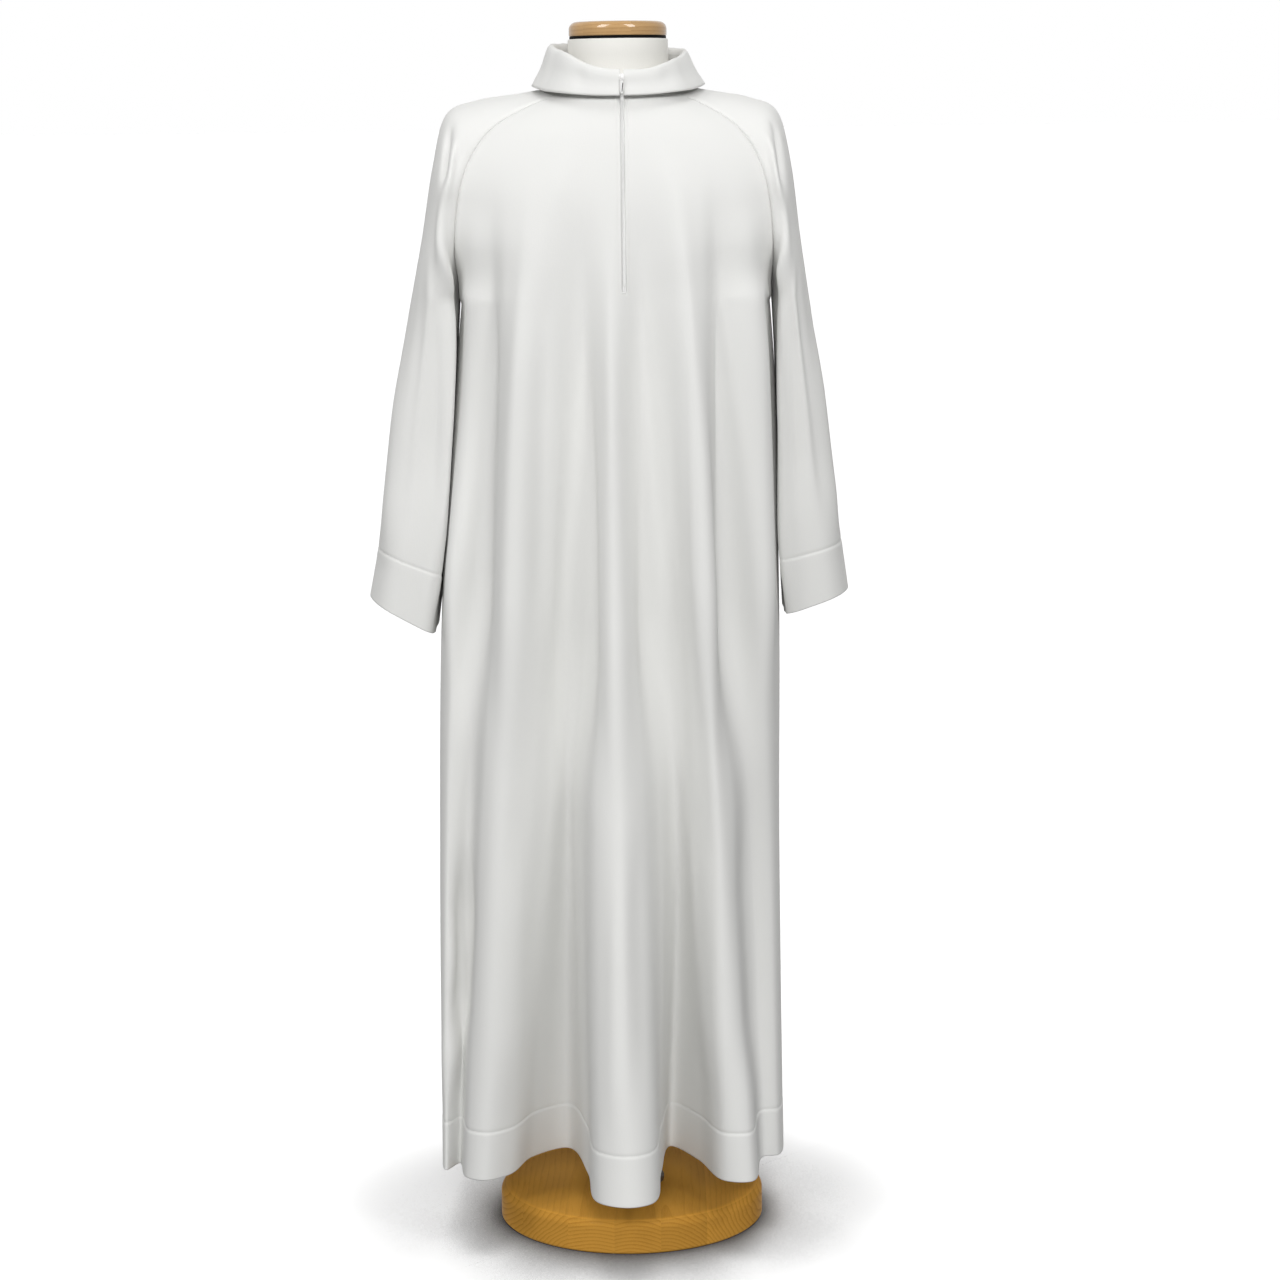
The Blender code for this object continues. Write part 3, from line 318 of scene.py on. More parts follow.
CREASES["back"] = (
    (-158, 1420, -186, 1100, -204, 740, 16, 25, 12.3, -400),
    (-122, 1430, -136, 1060, -146, 680, 14, 23, -15.2, 300),
    (-76, 1440, -90, 1110, -100, 720, 19, 27, 11.8, 400),
    (-28, 1400, -34, 1030, -30, 660, 15, 23, -13.7, -300),
    (2, 1320, 10, 990, 14, 620, 16, 23, 10.4, 300),
    (54, 1430, 63, 1060, 72, 700, 15, 23, -14.8, 400),
    (96, 1440, 111, 1080, 124, 720, 18, 26, 12.5, -400),
    (136, 1420, 151, 1060, 164, 700, 14, 21, -16.7, 200),
    (-150, 1430, -164, 1350, -172, 1250, 13, 18, -5.4, 400),
    (142, 1430, 154, 1345, 160, 1240, 13, 18, -4.8, -400),
    (-48, 1480, -66, 1390, -76, 1290, 21, 29, 3.2, 200),
    (40, 1490, 58, 1410, 66, 1300, 21, 29, 2.9, -200),
    (-216, 640, -220, 450, -226, 230, 11, 17, -9.5, -400),
    (-156, 620, -160, 410, -164, 200, 14, 19, 5.1, 400),
    (-52, 600, -54, 390, -60, 180, 13, 18, -3.8, -300),
    (46, 640, 50, 420, 56, 170, 14, 18, 4.5, 300),
    (150, 610, 156, 400, 160, 190, 13, 17, -5.4, 400),
)
# Sleeves: thousandths of the way round from the front seam over the outside to the back seam, and height,
# at the top, middle and foot of each crease, then half widths in thousandths of the way, depth and lean.
CREASES["sleeve_left"] = (
    (160, 1460, 120, 1200, 110, 790, 50, 55, 18.5, 400),
    (230, 1330, 220, 1180, 200, 980, 28, 40, -5, -300),
    (330, 1330, 300, 1150, 280, 930, 45, 60, -6.5, 300),
    (420, 1240, 400, 1080, 370, 900, 40, 55, 5.9, -400),
    (280, 1495, 220, 1460, 170, 1400, 30, 45, -5.9, 300),
    (160, 1480, 120, 1440, 100, 1380, 28, 40, 5.2, -300),
    (580, 1280, 600, 1110, 630, 910, 40, 55, 5.9, 300),
    (700, 1350, 710, 1180, 730, 960, 38, 55, -7.2, -400),
    (820, 1410, 830, 1230, 840, 1000, 38, 55, 7.8, 300),
    (740, 1490, 790, 1450, 840, 1390, 30, 42, -5.2, -300),
    (900, 1330, 910, 1180, 920, 1010, 28, 40, -6.5, 300),
)
CREASES["sleeve_right"] = (
    (160, 1440, 120, 1220, 110, 760, 50, 65, 18, -300),
    (230, 1320, 220, 1170, 210, 960, 28, 40, -5, 300),
    (310, 1350, 320, 1170, 330, 940, 42, 60, -5.9, -300),
    (430, 1260, 410, 1100, 400, 910, 40, 52, 6.5, 400),
    (270, 1498, 220, 1455, 180, 1390, 30, 45, -5.2, -300),
    (150, 1485, 120, 1435, 110, 1370, 28, 38, 4.7, 300),
    (570, 1300, 590, 1120, 610, 920, 40, 55, 6.5, -300),
    (690, 1340, 700, 1160, 720, 950, 40, 55, -6.5, 300),
    (810, 1420, 820, 1240, 830, 990, 38, 52, 7.2, -300),
    (730, 1495, 780, 1445, 830, 1380, 30, 42, -5.5, 300),
    (900, 1340, 910, 1190, 920, 1020, 28, 40, -5.9, -300),
)


# ---- Curves and surfaces ----
def through(knots, values, at):
    """A smooth curve through values at rising knots, read at many places."""
    knots = np.asarray(knots, float)
    values = np.asarray(values, float)
    slopes = np.gradient(values, knots, axis=0)
    at = np.atleast_1d(np.asarray(at, float))
    i = np.clip(np.searchsorted(knots, at) - 1, 0, len(knots) - 2)
    span = knots[i + 1] - knots[i]
    f = (at - knots[i]) / span
    if values.ndim > 1:
        span, f = span[:, None], f[:, None]
    return hermite(values[i], slopes[i], values[i + 1], slopes[i + 1], span, f)


def hermite(start, start_slope, end, end_slope, span, f):
    return (
        (2 * f**3 - 3 * f**2 + 1) * start
        + (f**3 - 2 * f**2 + f) * span * start_slope
        + (3 * f**2 - 2 * f**3) * end
        + (f**3 - f**2) * span * end_slope
    )


def table_row(table, row):
    """A table's columns at a row, which may lie between two of its rows."""
    return through(range(len(table)), table, row)[0]


def unit(vectors):
    return vectors / np.maximum(np.linalg.norm(vectors, axis=-1, keepdims=True), 1e-12)


def run_of(points):
    """Distance of each point from the first along a line of points."""
    return np.concatenate([[0], np.cumsum(np.linalg.norm(np.diff(points, axis=0), axis=1))])


def bell(offset, width):
    return np.exp(-((offset / width) ** 2))


def smoothstep(low, high, value):
    share = np.clip((value - low) / (high - low), 0, 1)
    return share * share * (3 - 2 * share)


def arch(share, roundness, power):
    """1 in the middle of a row and 0 at its ends, where share is -1 and 1."""
    end = max(1 - roundness**power, 0) ** (1 / power)
    return (np.maximum(1 - np.abs(share * roundness) ** power, 0) ** (1 / power) - end) / (1 - end)


def fold_shares(folds):
    """Where each fold line starts across the panel, from -1 at the left seam to 1 at the right."""
    hips = np.array([SIDE_SEAM_LEFT[0], *(fold[0] for fold in folds.values()), SIDE_SEAM_RIGHT[0]])
    return np.where(hips < 0, hips / -SIDE_SEAM_LEFT[0], hips / SIDE_SEAM_RIGHT[0])


def upper_row(row, shares, behind):
    """The front's points (or the back's) along one row above the underarm."""
    left, right, *seam = table_row(RAGLAN_SEAMS, row)
    lines = table_row(MIDDLE_LINES, row)
    edge_y, edge_z = (seam[1], seam[3]) if behind else (seam[0], seam[2])
    middle_y, middle_z = lines[2:4] if behind else lines[0:2]
    roundness = lines[4]
    if row > UNDERARM - 1:
        roundness = max(1 - abs(edge_y / middle_y) ** lines[5], 0) ** (1 / lines[5])
    rise = arch(shares, roundness, lines[5])
    x = np.where(shares < 0, -shares * left, shares * right)
    return np.stack([x, edge_y + (middle_y - edge_y) * rise, edge_z + (middle_z - edge_z) * rise], axis=1)


def skirt_stations(heights):
    """For each height the closed row of fold-line points: the front's left to right, then the back's."""
    lines = []
    for folds, behind in ((FRONT_FOLDS, False), (BACK_FOLDS, True)):
        rows = [SIDE_SEAM_LEFT, *folds.values(), SIDE_SEAM_RIGHT]
        shares = fold_shares(folds)
        tops, aboves = upper_row(UNDERARM, shares, behind), upper_row(UNDERARM - 1, shares, behind)
        for end in (0, -1):
            tops[end, 0] -= math.copysign(SIDE_SEAM_TOP, tops[end, 0])
            aboves[end] = tops[end] + (-math.copysign(SIDE_SEAM_LEAN, tops[end, 0]), 0, 0.05)
        found = []
        for (hip_x, hip_y, knee_x, knee_y, hem_x, hem_y), top, above in zip(rows, tops, aboves):
            knots = (HEM_HEIGHT, KNEE, HIP, top[2], above[2])
            points = ((hem_x, hem_y), (knee_x, knee_y), (hip_x, hip_y), top[:2], above[:2])
            line = through(knots, points, heights)
            found.append(np.column_stack([line, heights]))
        lines += found[-2:0:-1] if behind else found
    return np.array(lines).transpose(1, 0, 2)


def round_the_ring(rings, positions):
    """Smooth rows through closed rings of stations, read at positions given in stations."""
    before, after = np.roll(rings, 1, axis=1), np.roll(rings, -1, axis=1)
    left = np.sqrt(np.linalg.norm(rings - before, axis=2))[..., None]
    right = np.sqrt(np.linalg.norm(after - rings, axis=2))[..., None]
    slopes = (left**2 * after + (right**2 - left**2) * rings - right**2 * before) / (
        left * right * (left + right)
    )
    i = np.floor(positions + 1e-9).astype(int)
    f = np.clip(positions - i, 0, 1)[..., None]
    i, j = i % rings.shape[1], (i + 1) % rings.shape[1]
    row = np.arange(len(rings))[:, None]
    return hermite(rings[row, i], slopes[row, i], rings[row, j], slopes[row, j], right[row, i], f)


# ---- The garment's grids ----
UPPER_LEVELS = np.linspace(0, UNDERARM, 61)


def stitched_levels(edge, depth, rows, beside, gap, foot, ends):
    """Heights of the rows from the underarm to an edge, close together at the edge's stitching. Foot is the
    height over the edge and the number of the rows that start at a gap below the stitching."""
    line = edge + depth
    main = np.linspace(UNDERARM_HEIGHT, line + 0.010, rows)[1:]
    near = line + np.array([*beside, 0.0, *(-step for step in beside[::-1])])
    below = np.linspace(line - gap, edge + foot[0], foot[1])
    return np.concatenate([main, near, below, edge + np.array(ends)])


def skirt_levels(hem_depth):
    beside = (0.0055, 0.0030, 0.0014)
    return stitched_levels(HEM_HEIGHT, hem_depth, 134, beside, 0.011, (0.004, 8), (0.0015, 0.0))


def sleeve_levels(cuff_depth):
    beside = (0.0045, 0.0025, 0.0012)
    return stitched_levels(SLEEVE_HEIGHTS[-1], cuff_depth, 44, beside, 0.010, (0.0015, 9), (0.0,))


def lips_of(row_x, positions):
    """Positions along a row where the zip's two lips lie."""
    half = sizes().zip_width / 2
    return np.interp([ZIP_X - half, ZIP_X + half], row_x, positions)


def panel_columns(folds):
    """Shares of the fold lines across a panel, their numbers, and the columns as parts of those numbers."""
    shares = fold_shares(folds)
    columns = np.arange((len(shares) - 1) * FOLD_STEPS + 1) / FOLD_STEPS
    return shares, np.arange(len(shares)), columns


def front_grid(levels):
    """The front's outer points and the number of its left lip's column."""
    shares, stations, base = panel_columns(FRONT_FOLDS)
    middle_share = ZIP_X / upper_row(UNDERARM, np.array([1.0]), False)[0, 0]
    lip = int(round(np.interp(middle_share, shares, stations) * FOLD_STEPS))
    low, high = base[lip] - ZIP_SPREAD[0], base[lip] + ZIP_SPREAD[1]
    rings = skirt_stations(levels)
    fine = np.linspace(*ZIP_FOLD_LINES, 161)
    rows = []

    def spread(lips):
        left = np.interp(base[: lip + 1], [0, low, base[lip]], [0, low, lips[0]])
        right = np.interp(base[lip:], [base[lip], high, base[-1]], [lips[1], high, base[-1]])
        return np.concatenate([left, right])

    for row in UPPER_LEVELS:
        right_x = table_row(RAGLAN_SEAMS, row)[1]
        places = spread(lips_of(shares * right_x, stations))
        rows.append(upper_row(row, np.interp(places, stations, shares), behind=False))
    look = round_the_ring(rings, np.tile(fine, (len(levels), 1)))
    places = np.array([spread(lips_of(line[:, 0], fine)) for line in look])
    rows += list(round_the_ring(rings, places))
    return np.array(rows), lip


def back_grid(levels):
    """The back's outer points, from the right seam to the left."""
    shares, stations, base = panel_columns(BACK_FOLDS)
    rows = [upper_row(row, np.interp(base, stations, shares), behind=True)[::-1] for row in UPPER_LEVELS]
    rings = skirt_stations(levels)
    start = len(FRONT_FOLDS) + 1
    rows += list(round_the_ring(rings, np.tile(start + base, (len(levels), 1))))
    return np.array(rows)


def sleeve_ring(front, back, outer, half_depth, row=UNDERARM, squareness=(2.0, 2.0)):
    """A row of a sleeve from its front edge round the outside to its back edge."""
    middle, reach = (front + back) / 2, outer - (front + back) / 2
    half_chord = np.linalg.norm(front - back) / 2
    forward = unit(front - back) if half_chord > 1e-6 else np.array([0.0, -1.0, 0.0])
    half_depth = max(half_depth, half_chord)
    start = math.asin(half_chord / half_depth)
    if row < SHOULDER_TIP[1]:
        start += (math.pi - 2 * start) * (1 - smoothstep(*SHOULDER_TIP, row))
        half_depth = half_chord / math.sin(start)
    turn = np.linspace(start, 2 * math.pi - start, SLEEVE_COLUMNS + 1)[:, None]
    power = np.where(np.cos(turn) > 0, *squareness)
    out = (math.cos(start) - swell(np.cos(turn), power)) / (1 + math.cos(start))
    return middle + reach * out + forward * half_depth * swell(np.sin(turn), power)


def swell(value, squareness):
    """A sine or cosine whose round is squarer the further squareness is above 2."""
    return np.sign(value) * np.abs(value) ** (2 / squareness)


def sleeve_grid(right, levels):
    """A sleeve's outer points. Columns run the same way round as the panels' do."""
    rows = []
    side = int(right)
    for row in UPPER_LEVELS:
        seam, shoulder = table_row(RAGLAN_SEAMS, row), table_row(SHOULDER_LINES, row)
        front = np.array([seam[side], seam[2], seam[4]])
        back = np.array([seam[side], seam[3], seam[5]])
        outer = np.array([shoulder[side], 0, shoulder[2]])
        rows.append(sleeve_ring(front, back, outer, shoulder[3], row))
    middle_y, table, square = SLEEVE_MIDDLES[side], (SLEEVE_LEFT, SLEEVE_RIGHT)[side], SLEEVE_SQUARENESS[side]
    seam, shoulder = RAGLAN_SEAMS[UNDERARM], SHOULDER_LINES[UNDERARM]
    knots = [*SLEEVE_HEIGHTS[::-1], UNDERARM_HEIGHT]
    known = [*table[::-1], (seam[side], shoulder[side], 0.0, shoulder[3])]
    for height in levels:
        inner_x, outer_x, drop, depth = (np.interp(height, knots, [k[i] for k in known]) for i in range(4))
        y = middle_y * min((SLEEVE_HEIGHTS[0] - height) / (SLEEVE_HEIGHTS[0] - SLEEVE_HEIGHTS[-1]), 1)
        inner = np.array([inner_x, max(y, 0) if right else min(y, 0), height - drop])
        outer = np.array([outer_x, inner[1], height])
        squareness = 2 + (square - 2) * min((UNDERARM_HEIGHT - height) / SQUARE_DEPTH, 1)
        rows.append(sleeve_ring(inner, inner, outer, depth, squareness=squareness))
    grid = np.array(rows)
    return grid if right else grid[:, ::-1]


def numbered(grids):
    """Every grid's points in one list, with shared numbers where the grids touch."""
    flat = np.concatenate([grid.reshape(-1, 3) for grid in grids.values()])
    cells = np.floor(flat * 1e6 + 0.37)  # shifted, so that no round number falls between two cells
    _, first, index = np.unique(cells, axis=0, return_index=True, return_inverse=True)
    numbers, start = {}, 0
    for name, grid in grids.items():
        count = grid.shape[0] * grid.shape[1]
        numbers[name] = index.reshape(-1)[start : start + count].reshape(grid.shape[:2])
        start += count
    return flat[first], numbers


def point_normals(points, numbers):
    """Each point's outward direction over all the grids, so that walls meet square at their seams."""
    normals = np.zeros_like(points)
    for grid in numbers.values():
        corners = (grid[:-1, :-1], grid[1:, :-1], grid[1:, 1:], grid[:-1, 1:])
        across = np.cross(points[corners[2]] - points[corners[0]], points[corners[3]] - points[corners[1]])
        for corner in corners:
            np.add.at(normals, corner, across)
    return unit(normals)


# ---- Creases ----
def crease_depths(across, height, creases):
    """How far a table of creases moves each point out, from where it lies across and its height."""
    total = np.zeros_like(height)
    for row in creases:
        x_top, z_top, x_mid, z_mid, x_foot, z_foot, wide_top, wide_foot, depth, lean = metres(*row)
        place = through((z_foot, z_mid, z_top), (x_foot, x_mid, x_top), height.reshape(-1))
        run = np.clip((z_top - height) / (z_top - z_foot), 0, 1)
        wide = wide_top + (wide_foot - wide_top) * run
        offset = (across - place.reshape(height.shape)) / wide
        offset = offset / (1 + CREASE_LEAN * lean * np.sign(-offset))
        fade = smoothstep(0, CREASE_FADES[0], run) * smoothstep(0, CREASE_FADES[1], 1 - run)
        total += depth * fade * bell(offset, 1.0)
    return total * sizes().crease_strength


def seam_valley(distance):
    """The soft valley of a seam, and the low ridge of its allowance beside it."""
    ridge = RIDGE * bell(distance - RIDGE_AWAY, RIDGE_WIDTH)
    return sizes().seam_depth * (ridge - bell(distance, SEAM_WIDTH))


def stitched_hem(above):
    """The groove of a hem's stitching and the doubled cloth below it."""
    return HEM_DOUBLING * smoothstep(0.0008, -0.0030, above) - HEM_GROOVE * bell(above, HEM_GROOVE_WIDTH)


def row_lengths(grid):
    """Distance of each point from the first column along its row, and from the first row."""
    along = np.linalg.norm(np.diff(grid, axis=1), axis=2)
    down = np.linalg.norm(np.diff(grid, axis=0), axis=2)
    u = np.concatenate([np.zeros((len(grid), 1)), np.cumsum(along, axis=1)], axis=1)
    v = np.concatenate([np.zeros((1, grid.shape[1])), np.cumsum(down, axis=0)], axis=0)
    return u, v


# ---- Meshes ----
def placed(name, data):
    """An object of the scene that shows the data."""
    thing = bpy.data.objects.new(name, data)
    bpy.context.scene.collection.objects.link(thing)
    return thing


def stand_for(thing, node, body=GARMENT_BODY):
    """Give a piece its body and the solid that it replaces."""
    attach(thing, body)
    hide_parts(node)


def add_object(name, points, faces, material, uvs=None):
    """A smooth mesh object. uvs holds one place for each corner of the faces, in their order."""
    mesh = bpy.data.meshes.new(name)
    mesh.from_pydata(np.asarray(points).tolist(), [], faces if isinstance(faces, list) else faces.tolist())
    if uvs is not None:
        layer = mesh.uv_layers.new(name="Weave")
        layer.data.foreach_set("uv", np.asarray(uvs, np.float32).reshape(-1))
    mesh.validate()
    mesh.shade_smooth()
    mesh.materials.append(material)
    return placed(name, mesh)


def shell(name, outer, inner, places, material, closed_from=None, open_quads=()):
    """A thin closed wall of cloth from its outer and inner points, with places as its UV map in metres.
    From row closed_from on, its last column is its first."""
    rows, columns = outer.shape[:2]
    count = rows * columns
    start = (np.arange(rows - 1)[:, None] * columns + np.arange(columns - 1)).reshape(-1)
    kept = np.ones(len(start), bool)
    kept[list(open_quads)] = False
    start = start[kept]
    corners = np.stack([start, start + columns, start + columns + 1, start + 1], axis=1)
    merged = np.arange(count).reshape(rows, columns)
    if closed_from is not None:
        merged[closed_from:, -1] = merged[closed_from:, 0]
    merged = merged.reshape(-1)
    quads = merged[corners]
    edges = np.stack([quads, np.roll(quads, -1, axis=1)], axis=2).reshape(-1, 2)
    edge_corners = np.stack([corners, np.roll(corners, -1, axis=1)], axis=2).reshape(-1, 2)
    keys = edges[:, 0] * count + edges[:, 1]
    single = ~np.isin(keys, edges[:, 1] * count + edges[:, 0])
    first, last = edges[single, 0], edges[single, 1]
    rim = np.stack([last, first, first + count, last + count], axis=1)
    rim_corners = edge_corners[single][:, [1, 0, 0, 1]]
    faces = np.concatenate([quads, quads[:, ::-1] + count, rim])
    face_corners = np.concatenate([corners, corners[:, ::-1], rim_corners])
    points = np.concatenate([outer.reshape(-1, 3), inner.reshape(-1, 3)])
    used, faces = np.unique(faces, return_inverse=True)
    uvs = places.reshape(-1, 2)[face_corners.reshape(-1)]
    return add_object(name, points[used], faces.reshape(-1, 4), material, uvs)


def garment():
    """The panels' grids, their outward directions and their points with all creases and seams. Above is each
    row's height over the stitched line of the hem or cuff."""
    size = sizes()
    hem_rows, cuff_rows = skirt_levels(size.hem_depth), sleeve_levels(size.cuff_depth)
    front, lip = front_grid(hem_rows)
    grids = {
        "front": front,
        "sleeve_right": sleeve_grid(True, cuff_rows),
        "back": back_grid(hem_rows),
        "sleeve_left": sleeve_grid(False, cuff_rows),
    }
    points, numbers = numbered(grids)
    normals = point_normals(points, numbers)
    found = {"grids": grids, "lip": lip, "normals": {}, "places": {}, "outer": {}, "above": {}}
    for name, grid in grids.items():
        facing = found["normals"][name] = normals[numbers[name]]
        u, v = row_lengths(grid)
        near = np.minimum(u, u[:, -1:] - u)
        faces_out = smoothstep(0.20, 0.55, np.abs(facing[..., 1]))
        loose = smoothstep(0.002, 0.022, near) * np.maximum(faces_out, smoothstep(0.10, 0.15, near))
        if name.startswith("sleeve"):
            across = np.tile(np.linspace(0, 1, grid.shape[1]), (len(grid), 1))
            across = across if name == "sleeve_right" else 1 - across
            above = cuff_rows - (SLEEVE_HEIGHTS[-1] + size.cuff_depth)
        else:
            across = grid[..., 0]
            above = hem_rows - HEM_HEIGHT - size.hem_depth
        above = found["above"][name] = np.concatenate([np.ones(len(UPPER_LEVELS)), above])
        depth = seam_valley(near) + crease_depths(across, grid[..., 2], CREASES[name]) * loose
        depth += stitched_hem(above)[:, None]
        if name == "front":
            depth += zip_welts(grid)
        found["outer"][name] = grid + facing * depth[..., None]
        found["places"][name] = np.stack([u - u[:, -1:] / 2, -v], axis=2)
    return found


def zip_welts(grid):
    """The raised lips beside the zip and the stitched line beyond them."""
    aside = np.abs(grid[..., 0] - ZIP_X) - sizes().zip_width / 2
    inside = smoothstep(ZIP_END - 0.010, ZIP_END + 0.004, grid[..., 2])
    groove = ZIP_GROOVE * bell(aside - ZIP_STITCHING, ZIP_GROOVE_WIDTH)
    return (WELT * bell(aside - WELT_AWAY, WELT_AWAY) - groove) * inside


def make_panels():
    """The cut and sewn pieces of the robe, each in the place of its solid."""
    shape = garment()
    for name, piece, node, (width, length, area) in PANELS:
        outer = shape["outer"][name]
        inner = outer - shape["normals"][name] * sizes().cloth_wall
        closed_from = UNDERARM_LEVEL if name.startswith("sleeve") else None
        slit = ()
        if name == "front":
            rows = np.flatnonzero(shape["grids"][name][:-1, shape["lip"], 2] > ZIP_END + 0.0005)
            slit = rows * (outer.shape[1] - 1) + shape["lip"]
        cloth = shell(piece, outer, inner, shape["places"][name], robe_cloth(), closed_from, slit)
        stand_for(cloth, node)


def neckline():
    """Rows of the yoke from the zip's right lip round the back to its left lip, and their directions."""
    shape = garment()
    order = ("front", "sleeve_right", "back", "sleeve_left", "front")
    lip = shape["lip"] + 1
    spans = (slice(lip, -1), slice(0, -1), slice(0, -1), slice(0, -1), slice(0, lip))
    ring = [np.concatenate([shape["grids"][n][r, s] for n, s in zip(order, spans)]) for r in YOKE_ROWS]
    away = [np.concatenate([shape["normals"][n][r, s] for n, s in zip(order, spans)]) for r in YOKE_ROWS]
    return np.array(ring), np.array(away)


def by_side(values, outward):
    """A value at the front, side and back, blended by which way a station faces."""
    front, side, back = values
    facing = -outward[1]
    return side + (front - side) * facing**2 if facing > 0 else side + (back - side) * facing**2


def collar_section(outward, wall=(0, 0, 1)):
    """Middle line of the collar's wall as (reach, height) from the neckline, whose cloth faces along
    wall."""
    fold, edge_height, edge_reach = (
        by_side(values, outward) for values in (COLLAR_FOLD, COLLAR_EDGE_HEIGHT, COLLAR_EDGE_REACH)
    )
    side, forward = outward[0], max(-outward[1], 0)
    fold -= COLLAR_DROP_RIGHT * side if side > 0 else COLLAR_RISE_LEFT * 2 * side * forward
    foot = -SEAM_GAP - CLOTH * (0.5 + max(np.dot(wall, outward), 0))
    lean = (edge_reach - COLLAR_FOLD_HALF) / 2
    return np.array(
        [
            (foot, -0.0008),
            (foot - 0.0008, fold * 0.55),
            (foot - 0.0005, fold - 0.0040),
            (foot + 0.0013, fold - 0.0010),
            (COLLAR_FOLD_HALF / 2, fold),
            (COLLAR_FOLD_HALF - 0.0005, fold - 0.0012),
            (COLLAR_FOLD_HALF + 0.0012, fold - 0.0045),
            (COLLAR_FOLD_HALF + lean * 0.9, (fold * 0.9 + edge_height * 1.1) / 2),
            (edge_reach, edge_height),
        ]
    )


def collar_front():
    """The foot of the collar at the zip, and its section there."""
    return neckline()[0][0, 0], collar_section(np.array([0, -1, 0]))


def make_collar():
    """The fold-over collar, with the soft dents of its turned edge."""
    ring, away = neckline()
    neck = ring[0]
    tangents = unit(np.gradient(neck, axis=0) * (1, 1, 0))
    outwards = np.stack([tangents[:, 1], -tangents[:, 0], np.zeros(len(neck))], axis=1)
    outwards = unit(np.array([outwards[max(i - 5, 0) : i + 6].mean(axis=0) for i in range(len(neck))]))
    outwards[0] = outwards[-1] = (0, -1, 0)
    run = run_of(neck)
    picks = np.unique(np.append(np.arange(0, len(neck), 2), len(neck) - 1))
    outer, inner, places = [], [], []
    for i in picks:
        section = collar_section(outwards[i], away[0, i])
        knots = run_of(section)
        at = np.linspace(0, knots[-1], COLLAR_POINTS)
        line = through(knots, section, at)
        along = unit(np.gradient(line, axis=0))
        across = np.stack([-along[:, 1], along[:, 0]], axis=1)
        share = at / knots[-1]
        for where, width, low, high, depth in COLLAR_DENTS:
            bump = depth * bell(run[i] / run[-1] - where, width) * smoothstep(low, (low + high) / 2, share)
            line = line - across * (bump * smoothstep(1.02, (low + high) / 2, share))[:, None]
        line = line + across * (FALL_GROOVE * bell(share - FALL_GROOVE_AT, FALL_GROOVE_WIDTH))[:, None]
        wall = across * CLOTH / 2
        for side, found in ((line - wall, outer), (line + wall, inner)):
            found.append(neck[i] + side[:, :1] * outwards[i] + side[:, 1:] * np.array([0, 0, 1]))
        places.append(np.column_stack([np.full(len(at), run[i]), at]))
    collar = shell("alb_collar", np.array(outer), np.array(inner), np.array(places), robe_cloth())
    stand_for(collar, "collar")
    width, length, area = COLLAR_CUT


# ---- The zip ----
def zip_path():
    """The zip's middle line from the collar's fold down to the end of the slit."""
    shape = garment()
    foot, fall = collar_front()
    crest, edge = fall[-3], fall[-1]
    slope = [crest + (edge - crest) * share for share in (0.0, 0.2, 0.4, 0.6, 0.75)]
    collar = [(foot[1] - reach, foot[2] + height) for reach, height in slope]
    lip = shape["lip"]
    middle = shape["outer"]["front"][:, lip] - shape["normals"]["front"][:, lip] * ZIP_SINK
    rows = [r for r in range(COVERED_ROWS, len(middle)) if middle[r, 2] > ZIP_END - 0.004]
    line = np.array(collar + [(middle[r, 1], middle[r, 2]) for r in rows])
    run = run_of(line)
    line = through(run, line, np.linspace(0, run[-1], 120))
    return np.column_stack([np.full(len(line), ZIP_X), line])


def strip(name, path, low, high, thickness, sink, material):
    """A flat strip along a path, between two distances across it, sunk below the path."""
    along = unit(np.gradient(path, axis=0))
    out = np.cross(along, (1, 0, 0))
    middle = path - out * sink
    half = thickness / 2
    sides = [np.stack([middle + out * h + (x, 0, 0) for x in (low, high)], axis=1) for h in (half, -half)]
    run = run_of(path)
    places = np.stack([np.column_stack([np.full(len(run), x), -run]) for x in (low, high)], axis=1)
    return shell(name, sides[0], sides[1], places, material)


def make_zip():
    """The tapes, the two rows of teeth, the bar tack at the foot, the slider and its pull tab."""
    size = sizes()
    path = zip_path()
    half = size.zip_width / 2
    for side, low, high in (("left", -half + TAPE_GAP, -TAPE_GAP), ("right", TAPE_GAP, half - TAPE_GAP)):
        tape = strip(f"zip_tape_{side}_cloth", path, low, high, TAPE_THICKNESS, TAPE_SINK, zip_cloth())
        stand_for(tape, f"zip_tape_{side}")
    along = unit(np.gradient(path, axis=0))
    out = path + np.cross(along, (1, 0, 0)) * TOOTH_RISE
    first = int(np.searchsorted(-path[:, 2], -SLIDER_HEIGHT))
    lines = [
        (out + (-TOOTH_ASIDE, 0, 0))[first:-4],
        (out + (TOOTH_ASIDE, 0, 0) - along * size.tooth_pitch / 2)[first + 1 : -4],
    ]
    run_along("zip_teeth", lines, size.tooth_pitch, TOOTH, (8, 6), zip_cloth())
    foot = garment()["outer"]["front"][:, garment()["lip"]]
    foot = foot[np.argmin(np.abs(foot[:, 2] - ZIP_END + 0.001))]
    tack = np.array([foot + (x, -0.0003, 0) for x in (-TACK_HALF, TACK_HALF)])
    run_along("zip_bar_tack", [tack], 0.0004, TACK_THREAD, (6, 4), zip_cloth())
    make_slider()


def slider_frame():
    """The slider's place on the slope of the collar's front: x across, -y outwards, z up the slope."""
    foot, fall = collar_front()
    top, edge = fall[-3], fall[-1]
    share = (foot[2] + top[1] - SLIDER_HEIGHT) / (top[1] - edge[1])
    reach = top[0] + (edge[0] - top[0]) * share
    slope = math.atan2(edge[0] - top[0], top[1] - edge[1])
    return Matrix.Translation((ZIP_X, foot[1] - reach, SLIDER_HEIGHT)) @ Matrix.Rotation(-slope, 4, "X")


